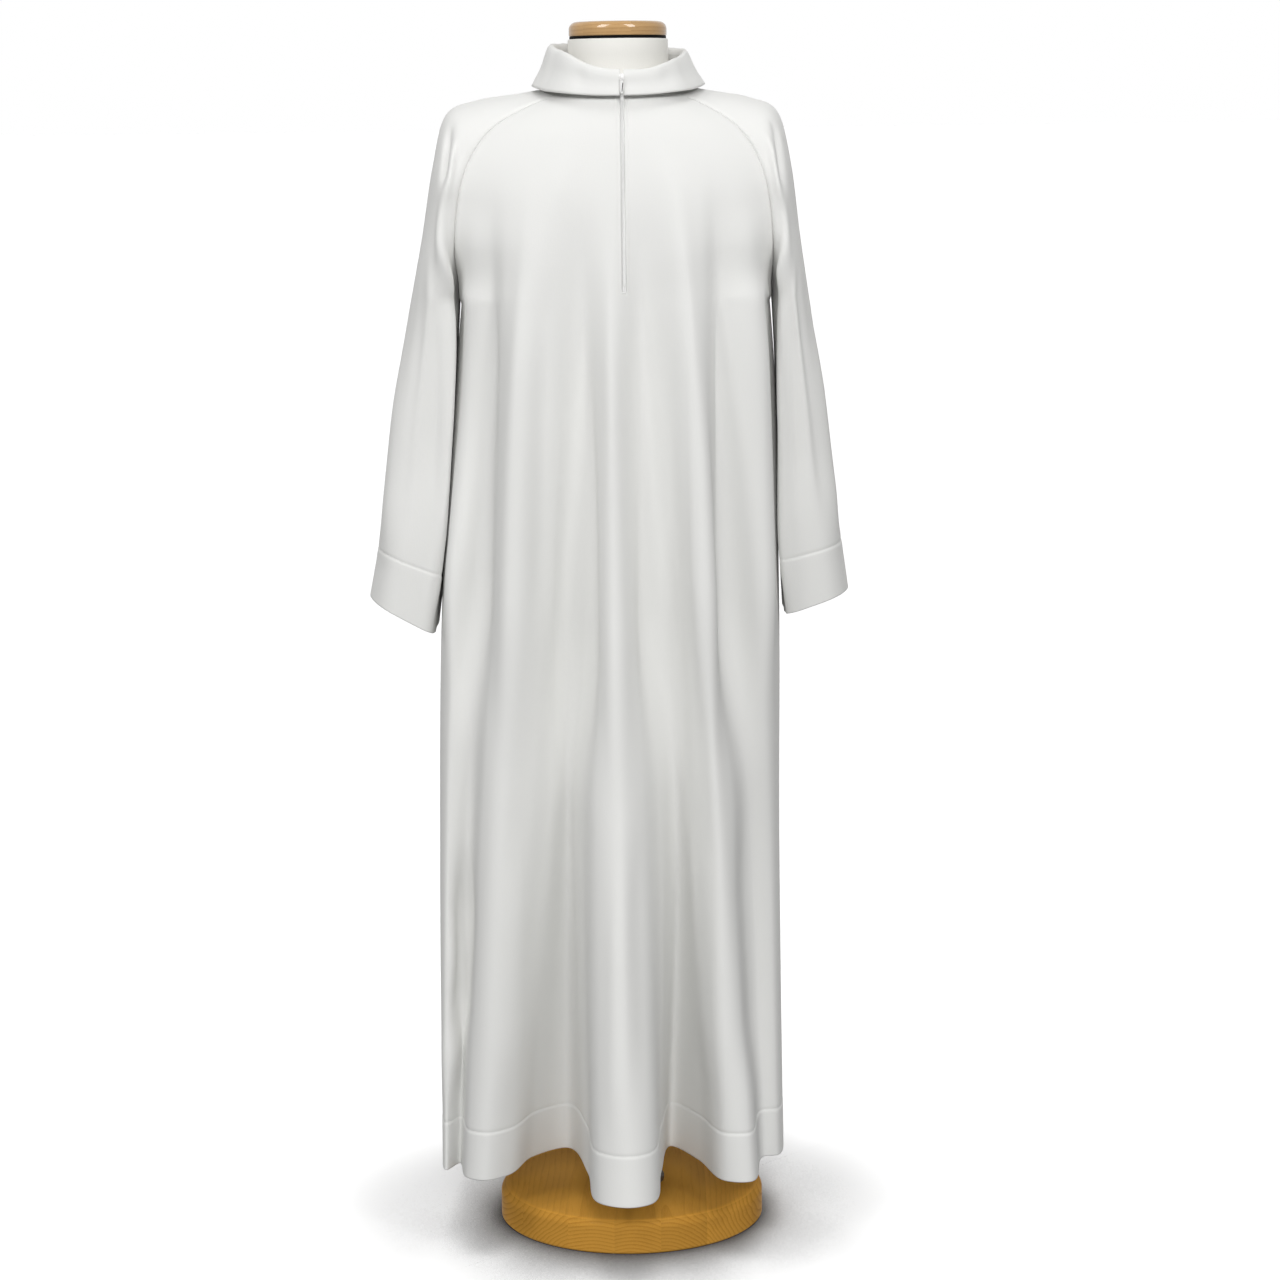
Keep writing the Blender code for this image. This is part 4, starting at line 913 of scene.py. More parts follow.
def ring_plate(outline, hole, low, high):
    """Points and faces of a plate between two depths, with a hole whose outline has as many points."""
    count = len(outline)
    points = [(x, y, z) for y in (low, high) for x, z in (*outline, *hole)]
    faces = []
    for i in range(count):
        j = (i + 1) % count
        faces.append((i, j, count + j, count + i))
        faces.append((2 * count + i, 3 * count + i, 3 * count + j, 2 * count + j))
        faces.append((i, 2 * count + i, 2 * count + j, j))
        faces.append((count + i, count + j, 3 * count + j, 3 * count + i))
    return points, faces


def rounded_outline(half_top, half_foot, top, foot, count=40):
    """A closed outline of rounded corners that tapers from its top to its foot, as (x, z)."""
    turns = [2 * math.pi * (i + 0.5) / count for i in range(count)]
    found = []
    for turn in turns:
        across, up = math.cos(turn), math.sin(turn)
        across = math.copysign(abs(across) ** 0.55, across)
        up = math.copysign(abs(up) ** 0.55, up)
        z = (top + foot) / 2 + (top - foot) / 2 * up
        half = half_foot + (half_top - half_foot) * (z - foot) / (top - foot)
        found.append((across * half, z))
    return found


def joined_metal(name, parts, place, bevel, dark=None):
    """One metal piece from closed parts, each with its edges rounded, moved to its place. The part numbered
    dark takes the dark finish, a painted shadow."""
    shape = bmesh.new()
    for number, (points, faces) in enumerate(parts):
        verts = [shape.verts.new(p) for p in points]
        for face in faces:
            shape.faces.new([verts[i] for i in face]).material_index = int(number == dark)
    bmesh.ops.recalc_face_normals(shape, faces=shape.faces)
    mesh = bpy.data.meshes.new(name)
    shape.to_mesh(mesh)
    shape.free()
    mesh.transform(place)
    thing = placed(name, mesh)
    rounding = thing.modifiers.new("rounding", "BEVEL")
    rounding.width = bevel
    rounding.segments = 2
    rounding.limit_method = "ANGLE"
    rounding.angle_limit = math.radians(35)
    mesh.shade_smooth()
    mesh.set_sharp_from_angle(angle=math.radians(50))
    mesh.materials.append(zip_metal())
    if dark is not None:
        mesh.materials.append(black_and_painted_shade())
    return plain_mesh(thing)


def plain_mesh(thing):
    """The object with its modifiers applied, under the same name."""
    graph = bpy.context.evaluated_depsgraph_get()
    mesh = bpy.data.meshes.new_from_object(thing.evaluated_get(graph), depsgraph=graph)
    thing.modifiers.clear()
    thing.data = mesh
    return thing


def box_part(low, high):
    """The points and faces of a box."""
    points = [(x, y, z) for z in (low[2], high[2]) for y in (low[1], high[1]) for x in (low[0], high[0])]
    return points, [(0, 2, 3, 1), (4, 5, 7, 6), (0, 1, 5, 4), (2, 6, 7, 3), (0, 4, 6, 2), (1, 3, 7, 5)]


def solid_plate(outline, low, high):
    """Points and faces of a plate between two depths."""
    count = len(outline)
    points = [(x, y, z) for y in (low, high) for x, z in outline]
    faces = [tuple(range(count)), tuple(range(2 * count - 1, count - 1, -1))]
    faces += [(i, count + i, count + (i + 1) % count, (i + 1) % count) for i in range(count)]
    return points, faces


def make_slider():
    """The slider, which stays closed at the top, and the pull tab that hangs from its bridge."""
    place = slider_frame()
    back = -(CLOTH / 2 + SEAM_GAP)
    front = back - SLIDER_PLATE
    bridge = front - BRIDGE_HEIGHT
    half, long = BRIDGE_WIDTH / 2, BRIDGE_LENGTH / 2
    plate = rounded_outline(SLIDER_HALF_TOP, SLIDER_HALF_FOOT, SLIDER_HALF_LENGTH, -SLIDER_HALF_LENGTH)
    parts = [
        solid_plate(plate, front, back),
        box_part((-half, bridge, long - BRIDGE_BAR), (half, front + OVERLAP, long)),
        box_part((-half, bridge, -long), (half, front + OVERLAP, BRIDGE_BAR - long)),
        box_part((-half, bridge - BRIDGE_BAR, -long), (half, bridge + OVERLAP, long)),
    ]
    stand_for(joined_metal("zip_slider_body", parts, place, bevel=0.0003), "zip_slider")
    thick, wide = TAB_THICKNESS / 2, TAB_WIDTH / 2
    outline = rounded_outline(wide, wide * TAB_TAPER, thick, -TAB_LENGTH)
    hole = rounded_outline(wide - TAB_RIM, wide - TAB_RIM, -thick, -TAB_EYE)
    # The dark plate on the pull tab is a painted shadow: a thin plate on the tab's face where a shaded slit
    # shows.
    shadow_outline = [(x + SHADOW_SLOT_ASIDE + SHADOW_SLOT_LEAN * (z - SHADOW_SLOT_MIDDLE), z) for x, z in rounded_outline(*TAB_SHADOW_SLOT)]
    painted_shadow_plate = solid_plate(shadow_outline, -thick - SHADOW_SLOT_RISE, -thick + SHADOW_SLOT_SINK)
    parts = [ring_plate(outline, hole, -thick, thick), painted_shadow_plate]
    hung = place @ Matrix.Translation((0, (front + bridge) / 2, 0))
    tab = joined_metal("zip_pull_tab_plate", parts, hung, bevel=0.0002, dark=1)
    stand_for(tab, "zip_pull_tab", TAB_BODY)


# ---- Repeated pieces by Geometry Nodes ----
# Sockets of the tree of beads, then its nodes and its links, each link as node, output, node, input.
BEAD_INPUTS = (
    ("Geometry", "Geometry"),
    ("Pitch", "Float"),
    ("Half width", "Float"),
    ("Half height", "Float"),
    ("Half length", "Float"),
    ("Segments", "Int"),
    ("Rings", "Int"),
    ("Finish", "Material"),
)
BEAD_NODES = {
    "start": ("NodeGroupInput", {}),
    "end": ("NodeGroupOutput", {}),
    "to_curve": ("GeometryNodeMeshToCurve", {}),
    "spots": ("GeometryNodeCurveToPoints", {"mode": "LENGTH"}),
    "bead": ("GeometryNodeMeshUVSphere", {}),
    "shaped": ("GeometryNodeTransform", {}),
    "size": ("ShaderNodeCombineXYZ", {}),
    "place": ("GeometryNodeInstanceOnPoints", {}),
    "aim": ("FunctionNodeAlignRotationToVector", {"axis": "Z"}),
    "level": ("FunctionNodeAlignRotationToVector", {"axis": "X", "pivot_axis": "Z"}),
    "real": ("GeometryNodeRealizeInstances", {}),
    "finish": ("GeometryNodeSetMaterial", {}),
    "smooth": ("GeometryNodeSetShadeSmooth", {}),
}
BEAD_LINKS = (
    ("start", "Geometry", "to_curve", 0),
    ("to_curve", 0, "spots", 0),
    ("start", "Pitch", "spots", "Length"),
    ("start", "Segments", "bead", "Segments"),
    ("start", "Rings", "bead", "Rings"),
    ("start", "Half width", "size", 0),
    ("start", "Half height", "size", 1),
    ("start", "Half length", "size", 2),
    ("bead", "Mesh", "shaped", "Geometry"),
    ("size", 0, "shaped", "Scale"),
    ("spots", "Tangent", "aim", "Vector"),
    ("aim", 0, "level", "Rotation"),
    ("spots", "Points", "place", "Points"),
    ("shaped", "Geometry", "place", "Instance"),
    ("level", 0, "place", "Rotation"),
    ("place", 0, "real", 0),
    ("real", 0, "smooth", "Geometry"),
    ("smooth", 0, "finish", "Geometry"),
    ("start", "Finish", "finish", "Material"),
    ("finish", 0, "end", 0),
)


def bead_tree():
    """A node tree that lays small beads along the lines of a mesh."""
    tree = bpy.data.node_groups.new("beads along lines", "GeometryNodeTree")
    for name, kind in BEAD_INPUTS:
        tree.interface.new_socket(name, in_out="INPUT", socket_type="NodeSocket" + kind)
    tree.interface.new_socket("Geometry", in_out="OUTPUT", socket_type="NodeSocketGeometry")
    nodes = {}
    for name, (kind, settings) in BEAD_NODES.items():
        nodes[name] = tree.nodes.new(kind)
        for key, value in settings.items():
            setattr(nodes[name], key, value)
    nodes["level"].inputs["Vector"].default_value = (1, 0, 0)
    nodes["bead"].inputs["Radius"].default_value = 1
    for start, output, end, socket in BEAD_LINKS:
        tree.links.new(nodes[start].outputs[output], nodes[end].inputs[socket])
    return tree


def run_along(name, lines, pitch, half_sizes, divisions, material):
    """Beads of a half width, height and length at a pitch along several lines of points, as one piece."""
    mesh = bpy.data.meshes.new(name)
    points, edges = [], []
    for line in lines:
        edges += [(len(points) + i, len(points) + i + 1) for i in range(len(line) - 1)]
        points += [tuple(p) for p in line]
    mesh.from_pydata(points, edges, [])
    thing = placed(name, mesh)
    tree = bpy.data.node_groups.get("beads along lines") or bead_tree()
    modifier = thing.modifiers.new("beads", "NODES")
    modifier.node_group = tree
    values = dict(zip(("Half width", "Half height", "Half length"), half_sizes))
    values.update({"Pitch": pitch, "Segments": divisions[0], "Rings": divisions[1], "Finish": material})
    for item in tree.interface.items_tree:
        if item.item_type == "SOCKET" and item.in_out == "INPUT" and item.name in values:
            modifier[item.identifier] = values[item.name]
    plain_mesh(thing)
    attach(thing, GARMENT_BODY)
    return thing


def make_stitching():
    """The topstitching of the hem, the cuffs and the zip's welts."""
    size = sizes()
    shape = garment()
    out = shape["outer"]
    half = (size.stitch_width, size.stitch_width * 0.8, size.stitch_pitch * 0.36)

    def row_line(name):
        row = int(np.argmin(np.abs(shape["above"][name])))
        return out[name][row] + shape["normals"][name][row] * STITCH_RISE

    front, lip = out["front"], shape["lip"]
    keep = (shape["grids"]["front"][:, lip, 2] > ZIP_END - 0.004) & (np.arange(len(front)) > COVERED_ROWS)
    beside = []
    for x in (ZIP_X - size.zip_width / 2 - ZIP_STITCHING, ZIP_X + size.zip_width / 2 + ZIP_STITCHING):
        line = [[np.interp(x, row[:, 0], row[:, a]) for a in range(3)] for row in front[keep]]
        beside.append(np.array(line) - (0, STITCH_RISE, 0))
    for name, lines in (
        ("hem_stitching", [row_line("front"), row_line("back")]),
        ("cuff_stitching_left", [row_line("sleeve_left")]),
        ("cuff_stitching_right", [row_line("sleeve_right")]),
        ("zip_stitching", beside),
    ):
        run_along(name, lines, size.stitch_pitch, half, (6, 4), robe_cloth())


# ---- The dress form ----
def closed_rings(name, rows, material):
    """A smooth solid about the Z axis from rows of as many points each, from the foot up."""
    rows = np.asarray(rows)
    steps = rows.shape[1]
    points = np.concatenate([[(0, 0, rows[0, 0, 2])], rows.reshape(-1, 3), [(0, 0, rows[-1, 0, 2])]])
    pairs = [(i, (i + 1) % steps) for i in range(steps)]
    faces = [(0, 1 + b, 1 + a) for a, b in pairs]
    for start in range(1, 1 + (len(rows) - 1) * steps, steps):
        faces += [(start + a, start + b, start + steps + b, start + steps + a) for a, b in pairs]
    top, last = len(points) - 1, len(points) - 1 - steps
    faces += [(top, last + a, last + b) for a, b in pairs]
    return add_object(name, points, faces, material)


def turned(name, profile, material, steps=128):
    """A solid of revolution from (radius, height) points, from the foot up."""
    angles = np.arange(steps) * 2 * math.pi / steps
    rows = [[(r * math.cos(a), r * math.sin(a), height) for a in angles] for r, height in profile]
    return closed_rings(name, rows, material)


def rounded_disc(radius, bottom, top, rounding, chamfer, steps=12):
    """The profile of a disc with a small chamfer below and a rounded edge above, its faces kept flat."""
    arc = [i * math.pi / 2 / steps for i in range(steps + 1)]
    edge = [(radius - rounding * (1 - math.cos(a)), top - rounding * (1 - math.sin(a))) for a in arc]
    foot = [(radius - chamfer - 0.001, bottom), (radius - chamfer, bottom), (radius, bottom + chamfer)]
    return [*foot, (radius, bottom + chamfer + 0.001), *edge, (edge[-1][0] - 0.002, top)]


def make_form():
    """The padded torso, the wooden cap and base, and the finishes of the pole and ring."""
    base = rounded_disc(BASE_RADIUS, 0, BASE_HEIGHT, BASE_ROUNDING, 0.002)
    cap = rounded_disc(CAP_RADIUS, CAP_BOTTOM, CAP_TOP, CAP_ROUNDING, 0.001)
    base, cap = turned("form_base_beech", base, base_beech()), turned("form_cap_beech", cap, cap_beech())
    stand_for(base, "form_base")
    stand_for(cap, "form_cap")
    for node, material in (("form_pole", steel()), ("form_cap_ring", black_and_painted_shade())):
        paint_node(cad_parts[node], material)
    torso = make_torso()
    stand_for(torso, "form_torso")


def paint_node(node, material):
    if not node.material_slots:
        node.data.materials.append(material)
    for place in node.material_slots:
        place.material = material


def make_torso():
    """The torso with its neck, smooth all round."""
    ring, away = neckline()
    clear = TORSO_GAP + TORSO_CLEARANCE * np.minimum(np.abs(ring[..., 1:2]) / TORSO_TOUCH, 1) ** 2
    under = (ring - away * (CLOTH + clear))[:, ::4]
    level = under[0]
    plan = unit(level * (1, 1, 0))
    ledge = level - plan * 0.0040 - (0, 0, 0.0008)
    neck = [plan * (NECK_RADIUS + 0.0030) + level * (0, 0, 1) + (0, 0, 0.0140)]
    neck += [plan * (NECK_RADIUS + past) + (0, 0, height) for past, height in NECK_RINGS]
    angles = np.arctan2(under[-1, :, 1] / 0.13, under[-1, :, 0] / 0.2)
    across = np.sign(np.cos(angles)) * np.abs(np.cos(angles)) ** 0.8
    along = np.sign(np.sin(angles)) * np.abs(np.sin(angles)) ** 0.9
    rings = []
    levels = np.linspace(0, len(TORSO_RINGS) - 1, 25)
    for side_z, middle_z, half, fore, aft in through(range(len(TORSO_RINGS)), TORSO_RINGS, levels):
        z = middle_z + (side_z - middle_z) * np.abs(across) ** 2
        rings.append(np.stack([across * half, along * np.where(along < 0, fore, aft), z], axis=1))
    return closed_rings("form_torso_padded", [*rings[::-1], *under[::-1], ledge, *neck], jersey())


# ---- Finishes ----
class Wire:
    """A node's output socket, with the operators that add Math nodes to its tree."""

    def __init__(self, paint, socket):
        self.paint, self.socket = paint, socket

    def maths(self, operation, *others):
        return self.paint.maths(operation, self, *others)

    def __add__(self, other):
        return self.maths("ADD", other)

    def __sub__(self, other):
        return self.maths("SUBTRACT", other)

    def __mul__(self, other):
        return self.maths("MULTIPLY", other)

    def __rsub__(self, other):
        return self.paint.maths("SUBTRACT", other, self)

    __radd__, __rmul__ = __add__, __mul__


class Made:
    """A node with its outputs as wires."""

    def __init__(self, paint, node):
        self.paint, self.node = paint, node

    def out(self, name=0):
        return Wire(self.paint, self.node.outputs[name])


class Paint:
    """A material under construction."""

    def __init__(self, name, colour, roughness, **uniform):
        self.material = bpy.data.materials.new(name)
        self.material.use_nodes = True
        self.tree = self.material.node_tree
        self.shader = self.tree.nodes["Principled BSDF"]
        self.set("Base Color", (*colour, 1))
        self.set("Roughness", roughness)
        for key, value in uniform.items():
            self.set(key.replace("_", " ").title().replace("Ior", "IOR"), value)

    def set(self, socket, value):
        self.join(self.shader.inputs[socket], value)

    def join(self, socket, value):
        if isinstance(value, Wire):
            self.tree.links.new(value.socket, socket)
        else:
            socket.default_value = value

    def node(self, kind, settings=None, values=None):
        """A node of a kind with its settings, or a ramp's stops, and the values or wires of its sockets."""
        node = self.tree.nodes.new(kind)
        for key, value in (settings or {}).items():
            if key == "stops":
                set_stops(node.color_ramp.elements, value)
            else:
                setattr(node, key, value)
        for key, value in (values or {}).items():
            self.join(node.inputs[key], value)
        return Made(self, node)

    def maths(self, operation, *values):
        return self.node("ShaderNodeMath", {"operation": operation}, dict(enumerate(values))).out()

    def place(self, source, scale=(1, 1, 1)):
        """Coordinates of a source, stretched by a scale along each axis."""
        start = self.node("ShaderNodeTexCoord").out(source)
        return self.node("ShaderNodeMapping", None, {"Vector": start, "Scale": scale}).out()

    def noise(self, source, scale, detail=2.0):
        values = {"Vector": self.place(source, scale), "Scale": 1.0, "Detail": detail}
        return self.node("ShaderNodeTexNoise", None, values).out()

    def blend(self, share, first, second, mode="MIX"):
        mix = self.node("ShaderNodeMix", {"data_type": "RGBA", "blend_type": mode}, {0: share})
        for socket, colour in ((6, first), (7, second)):
            self.join(mix.node.inputs[socket], colour if isinstance(colour, Wire) else (*colour, 1))
        return mix.out(2)

    def grey(self, shade):
        """A colour whose three channels are what shade gives for each channel's number."""
        return self.node("ShaderNodeCombineColor", None, {i: shade(i) for i in range(3)}).out()

    def bump(self, height, distance):
        self.set("Normal", self.node("ShaderNodeBump", None, {"Height": height, "Distance": distance}).out())


def set_stops(elements, stops):
    """Give a ramp its stops, each a place and a colour."""
    while len(elements) < len(stops):
        elements.new(0.5)
    for element, (where, colour) in zip(elements, stops):
        element.position = where
        element.color = (*colour, 1)


def weave(paint, coords, thread, relief):
    """The relief of a fine cloth: threads along and across, each a soft uneven line."""
    warp = paint.noise(coords, (1 / thread, 0.12 / thread, 1), 1.0)
    weft = paint.noise(coords, (0.10 / thread, 0.8 / thread, 1), 1.0)
    paint.bump(warp * 0.6 + weft * 0.4, relief)
    return warp


@cache
def robe_cloth():
    pale = colours().cloth
    paint = Paint("robe cloth", pale, 1.0, sheen_weight=0.10, sheen_roughness=0.7, specular_ior_level=0.15)
    threads = weave(paint, "UV", 0.0009, 0.00012)
    tone = paint.noise("UV", (3, 2, 1))
    dim = tuple(c * s for c, s in zip(pale, (0.965, 0.965, 0.955)))
    paint.set("Base Color", paint.blend(threads * 0.5 + tone * 0.5, dim, pale))
    return paint.material


@cache
def zip_cloth():
    paint = Paint("zip cloth", colours().zip_white, 0.6)
    weave(paint, "Object", 0.0008, 0.00006)
    return paint.material


@cache
def zip_metal():
    return Paint("zip metal", colours().metal, 0.28, metallic=1.0).material


@cache
def steel():
    return Paint("steel tube", (0.20, 0.19, 0.18), 0.45, metallic=1.0).material


# The dark finish of the ring under the cap, also used for the painted shadow plate on the pull tab.
@cache
def black_and_painted_shade():
    return Paint("black plastic", (0.006, 0.006, 0.006), 0.6, specular_ior_level=0.05).material


@cache
def jersey():
    paint = Paint("jersey", colours().jersey, 0.9, sheen_weight=0.1)
    ribs = paint.noise("Object", (900, 900, 260), 1.0)
    paint.bump(ribs, 0.0002)
    return paint.material


# Beech: growth rings to a metre, how far the ring's middle strays from board to board and how the rings
# waver, how much late growth, pores and patches darken the wood and how much fainter late growth is on
# top, then the darkest board's shade, how much the boards differ and how much paler they are on top. The
# paler top is partly the face grain's own tone and partly painted light that lifts the shaded top face.
RINGS_PER_METRE, HEART_STRAY, WAVER = 200.0, 0.16, 0.034
LATE_GROWTH, PORES, PATCHES, FAINTER_TOP = 0.36, 0.30, 0.26, 0.20
BOARD_SHADE, BOARD_RANGE, PALER_AND_LIT_TOP = 0.80, 0.20, 0.14


def beech(name, pale, dark, gloss, shift, face):
    """Lacquered beech of boards glued side by side, with growth rings. Above face, the growth rings are
    fainter and the boards paler: partly the face grain's own tone, partly painted light on the shaded top
    face."""
    paint = Paint(name, pale, 0.34, coat_weight=gloss, coat_roughness=0.05, specular_ior_level=0.16 * gloss)
    split = paint.node("ShaderNodeSeparateXYZ", None, {0: paint.place("Object")})
    x, y, z = (split.out(i) for i in range(3))
    board = (x * (1 / sizes().board_width) + (11.37 + shift)).maths("FLOOR")
    chance = paint.node("ShaderNodeTexWhiteNoise", {"noise_dimensions": "1D"}, {"W": board}).out("Value")
    wobble = paint.noise("Object", (10, 2.5, 14), 3.0)
    across = x + (chance - 0.5) * HEART_STRAY + wobble * WAVER
    deep = z + (chance * 0.10 + 0.02)
    rings = ((across * across + deep * deep).maths("SQRT") * RINGS_PER_METRE + y * 2.0).maths("FRACT")
    late = rings.maths("POWER", 3.0)
    pores = paint.noise("Object", (520, 40, 520))
    patches = paint.noise("Object", (16, 9, 16))
    top = (z - face).maths("GREATER_THAN", 0.0)
    grain = 0.92 - late * (LATE_GROWTH - top * FAINTER_TOP) - pores * PORES - patches * PATCHES
    middle = tuple((a + b) / 2 for a, b in zip(dark, pale))
    stops = ((0.05, dark), (0.34, middle), (0.62, pale))
    tone = paint.node("ShaderNodeValToRGB", {"stops": stops}, {0: grain}).out()
    # Above face the boards are paler: partly the face grain's tone, partly painted light on the shaded top
    # face.
    shade = paint.grey(lambda channel: chance * BOARD_RANGE + BOARD_SHADE + top * PALER_AND_LIT_TOP)
    paint.set("Base Color", paint.blend(1.0, tone, shade, "MULTIPLY"))
    paint.set("Roughness", 0.26 + pores * 0.16)
    paint.bump(grain, 0.00006)
    return paint.material


@cache
def base_beech():
    return beech("oiled beech", colours().beech_pale, colours().beech_dark, 0.02, 0.0, BASE_HEIGHT - 0.0015)


@cache
def cap_beech():
    return beech("lacquered beech", colours().cap_pale, colours().cap_dark, 0.9, 0.35, ABOVE_ALL)


# ---- The studio ----
def aimed_light(name, kind, place, target, power, size, height=None):
    """A soft light at a place that points at a target. size is a sun's angle in degrees."""
    lamp = bpy.data.lights.new(name, "SUN" if kind == "SUN" else "AREA")
    lamp.energy = power
    if kind == "SUN":
        lamp.angle = math.radians(size)
    else:
        lamp.shape = "RECTANGLE"
        lamp.size, lamp.size_y = size, height
    thing = placed(name, lamp)
    thing.location = place
    thing.rotation_euler = (Vector(target) - Vector(place)).to_track_quat("-Z", "Y").to_euler()
    thing.visible_glossy = kind == "SHINE"
    thing.visible_diffuse = kind != "SHINE"


def make_world(studio):
    """Soft light from all round, and a plain surround of the floor's own brightness."""
    world = bpy.data.worlds.new("studio")
    world.use_nodes = True
    nodes, links = world.node_tree.nodes, world.node_tree.links
    path, found = nodes.new("ShaderNodeLightPath"), nodes["Background"].outputs[0]
    nodes["Background"].inputs["Color"].default_value = (1, 1, 1, 1)
    nodes["Background"].inputs["Strength"].default_value = studio.ambient
    for ray, strength in (("Is Glossy Ray", studio.reflected), ("Is Camera Ray", studio.surround)):
        seen, choice = nodes.new("ShaderNodeBackground"), nodes.new("ShaderNodeMixShader")
        seen.inputs["Color"].default_value = (1, 1, 1, 1)
        seen.inputs["Strength"].default_value = strength
        links.new(path.outputs[ray], choice.inputs[0])
        links.new(found, choice.inputs[1])
        links.new(seen.outputs[0], choice.inputs[2])
        found = choice.outputs[0]
    links.new(found, nodes["World Output"].inputs["Surface"])
    bpy.context.scene.world = world


def make_stage():
    """The pale floor with its painted contact shadow, the soft lights and the camera."""
    studio = studio_values()
    corners = [(FLOOR_HALF * x, FLOOR_HALF * y, 0) for x, y in ((-1, -1), (1, -1), (1, 1), (-1, 1))]
    glow = studio.floor_glow
    paint = Paint("pale floor", studio.floor_colour, 1.0, emission_strength=glow, specular_ior_level=0.0)
    # The floor's colour and glow darken near the pieces by ambient occlusion: a painted contact shadow.
    near = paint.node("ShaderNodeAmbientOcclusion", {"samples": 12}, {"Distance": CONTACT_REACH}).out("AO")
    shade = near.maths("POWER", CONTACT_DEPTH)
    paint.set("Base Color", paint.grey(lambda channel: shade * studio.floor_colour[channel]))
    paint.set("Emission Color", paint.grey(lambda channel: shade))
    floor = add_object("studio_floor", corners, [(0, 1, 2, 3)], paint.material)
    floor.visible_diffuse = False
    floor.visible_glossy = False
    make_world(studio)
    for name, kind, place, target, power, size, height in STUDIO_LIGHTS:
        aimed_light(name, kind, place, target, power * studio.light_power, size, height)
    camera = bpy.data.cameras.new("view")
    camera.lens = CAMERA_LENS
    camera.sensor_width = 36
    thing = placed("view", camera)
    pitch = Matrix.Rotation(math.radians(90 - CAMERA_PITCH), 4, "X")
    thing.matrix_world = Matrix.Translation(CAMERA_PLACE) @ pitch @ Matrix.Rotation(CAMERA_ROLL, 4, "Z")
    bpy.context.scene.camera = thing
    bpy.context.scene.view_settings.view_transform = "Standard"


# ---- Sizes and colours a user would change ----
def length(name, description, default):
    return bpy.props.FloatProperty(
        name=name, description=description, default=default, unit="LENGTH", precision=5, min=0.0
    )


def share(name, description, default, most=2.0):
    return bpy.props.FloatProperty(name=name, description=description, default=default, min=0.0, max=most)


def colour(name, description, default):
    return bpy.props.FloatVectorProperty(
        name=name, description=description, default=default, size=3, subtype="COLOR", min=0.0, max=1.0
    )


class AlbSizes(bpy.types.PropertyGroup):
    zip_width: length("Zip width", "Width of zip that shows in the slit", 0.0046)
    tooth_pitch: length("Tooth pitch", "Distance between two teeth of one side", 0.0014)
    hem_depth: length("Hem depth", "Depth of the hem's turned cloth", 0.065)
    cuff_depth: length("Cuff depth", "Depth of the cuffs' turned cloth", 0.065)
    cloth_wall: length("Cloth thickness", "Thickness of the robe's shown wall", 0.0012)
    seam_depth: length("Seam depth", "How far a seam sinks between its two pieces", 0.0009)
    stitch_pitch: length("Stitch length", "Distance between two stitches", 0.0030)
    stitch_width: length("Stitch width", "Half width of a stitch's thread", 0.00026)
    board_width: length("Board width", "Width of the boards of the wooden base", 0.062)
    crease_strength: share("Creases", "Strength of the cloth's creases", 1.0)


class AlbColours(bpy.types.PropertyGroup):
    cloth: colour("Cloth", "Colour of the robe", (0.80, 0.80, 0.785))
    zip_white: colour("Zip", "Colour of the zip's tape and teeth", (0.95, 0.95, 0.94))
    metal: colour("Metal", "Colour of the slider and the pull tab", (0.96, 0.955, 0.945))
    jersey: colour("Jersey", "Colour of the dress form's cover", (0.785, 0.775, 0.735))
    beech_pale: colour("Base, pale", "Colour of the base's early growth", (0.65, 0.325, 0.054))
    beech_dark: colour("Base, dark", "Colour of the base's late growth", (0.38, 0.155, 0.017))
    cap_pale: colour("Cap, pale", "Colour of the cap's early growth", (0.60, 0.36, 0.145))
    cap_dark: colour("Cap, dark", "Colour of the cap's late growth", (0.40, 0.20, 0.060))


class AlbStudio(bpy.types.PropertyGroup):
    floor_colour: colour("Floor", "Colour of the floor", (0.95, 0.95, 0.95))
    floor_glow: share("Floor glow", "Light of the floor's own, which keeps its shadows pale", 0.34, 10.0)
    ambient: share("Ambient light", "Strength of the light from all round", 0.19, 10.0)
    reflected: share("Reflected light", "Strength of the surround that shiny pieces reflect", 0.75, 10.0)
    surround: share("Surround", "Brightness of the surround behind the floor", 1.0, 10.0)
    light_power: share("Light power", "Share of each lamp's power", 1.0, 10.0)


def sizes():
    return bpy.context.scene.alb_sizes


def colours():
    return bpy.context.scene.alb_colours


def studio_values():
    return bpy.context.scene.alb_studio


# ---- Operators ----
class ALB_OT_panels(bpy.types.Operator):
    """Build the front, the back and the two raglan sleeves"""

    bl_idname = "alb.panels"
    bl_label = "Front, back and sleeves"

    def execute(self, context):
        make_panels()
        return {"FINISHED"}


class ALB_OT_collar(bpy.types.Operator):
    """Build the fold-over collar"""

    bl_idname = "alb.collar"
    bl_label = "Collar"

    def execute(self, context):
        make_collar()
        return {"FINISHED"}


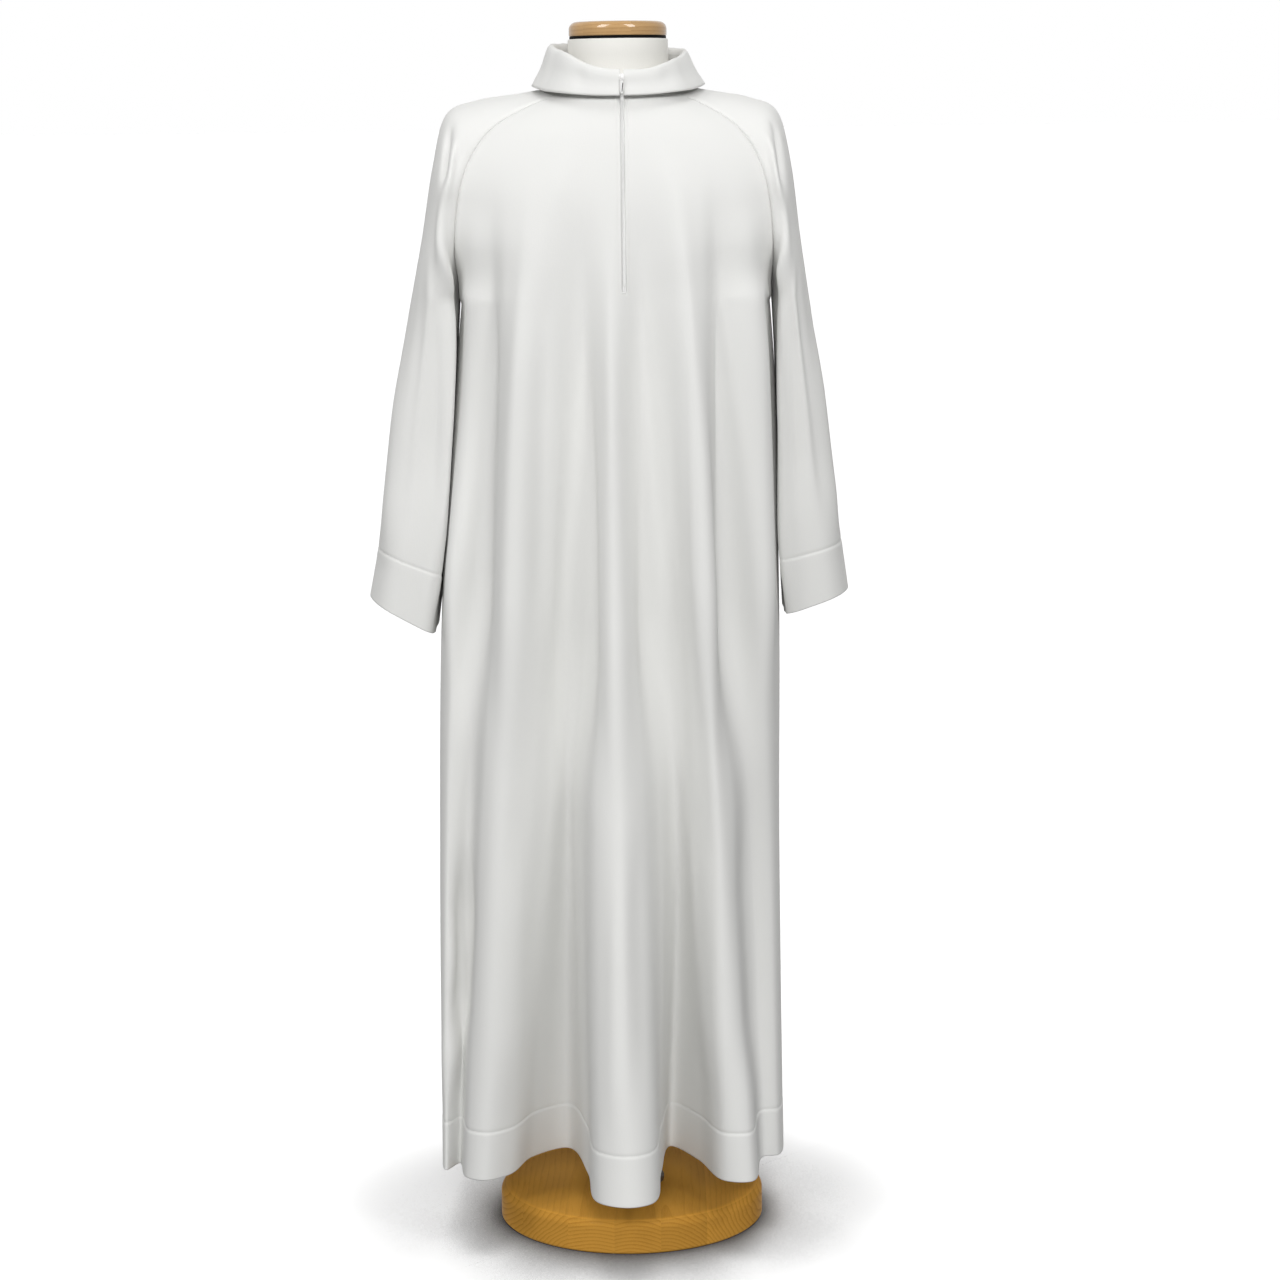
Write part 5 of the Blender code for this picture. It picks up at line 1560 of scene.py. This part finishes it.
class ALB_OT_zip(bpy.types.Operator):
    """Build the zip with its slider and pull tab"""

    bl_idname = "alb.zip"
    bl_label = "Zip"

    def execute(self, context):
        make_zip()
        return {"FINISHED"}


class ALB_OT_stitching(bpy.types.Operator):
    """Sew the stitched lines of the hem, the cuffs and the zip"""

    bl_idname = "alb.stitching"
    bl_label = "Stitching"

    def execute(self, context):
        make_stitching()
        return {"FINISHED"}


class ALB_OT_form(bpy.types.Operator):
    """Build the dress form with its wooden base and cap"""

    bl_idname = "alb.form"
    bl_label = "Dress form"

    def execute(self, context):
        make_form()
        return {"FINISHED"}


class ALB_OT_studio(bpy.types.Operator):
    """Set up the floor, the lights and the camera"""

    bl_idname = "alb.studio"
    bl_label = "Studio"

    def execute(self, context):
        make_stage()
        return {"FINISHED"}


OPERATORS = (ALB_OT_panels, ALB_OT_collar, ALB_OT_zip, ALB_OT_stitching, ALB_OT_form, ALB_OT_studio)


class ALB_PT_sidebar(bpy.types.Panel):
    """The alb's sizes, colours and steps"""

    bl_idname = "ALB_PT_sidebar"
    bl_label = "Alb"
    bl_space_type = "VIEW_3D"
    bl_region_type = "UI"
    bl_category = "Alb"

    def draw(self, context):
        for group in (sizes(), colours(), studio_values()):
            box = self.layout.box()
            for key in group.bl_rna.properties.keys():
                if key not in ("rna_type", "name"):
                    box.prop(group, key)
        for step in OPERATORS:
            self.layout.operator(step.bl_idname)


GROUPS = {"alb_sizes": AlbSizes, "alb_colours": AlbColours, "alb_studio": AlbStudio}
CLASSES = (*GROUPS.values(), *OPERATORS, ALB_PT_sidebar)


def register():
    for kind in CLASSES:
        bpy.utils.register_class(kind)
    for key, kind in GROUPS.items():
        setattr(bpy.types.Scene, key, bpy.props.PointerProperty(type=kind))


def unregister():
    for key in GROUPS:
        delattr(bpy.types.Scene, key)
    for kind in reversed(CLASSES):
        bpy.utils.unregister_class(kind)


def main():
    register()
    for step in OPERATORS:
        group, name = step.bl_idname.split(".")
        getattr(getattr(bpy.ops, group), name)()
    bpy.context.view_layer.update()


if __name__ == "__main__":
    main()
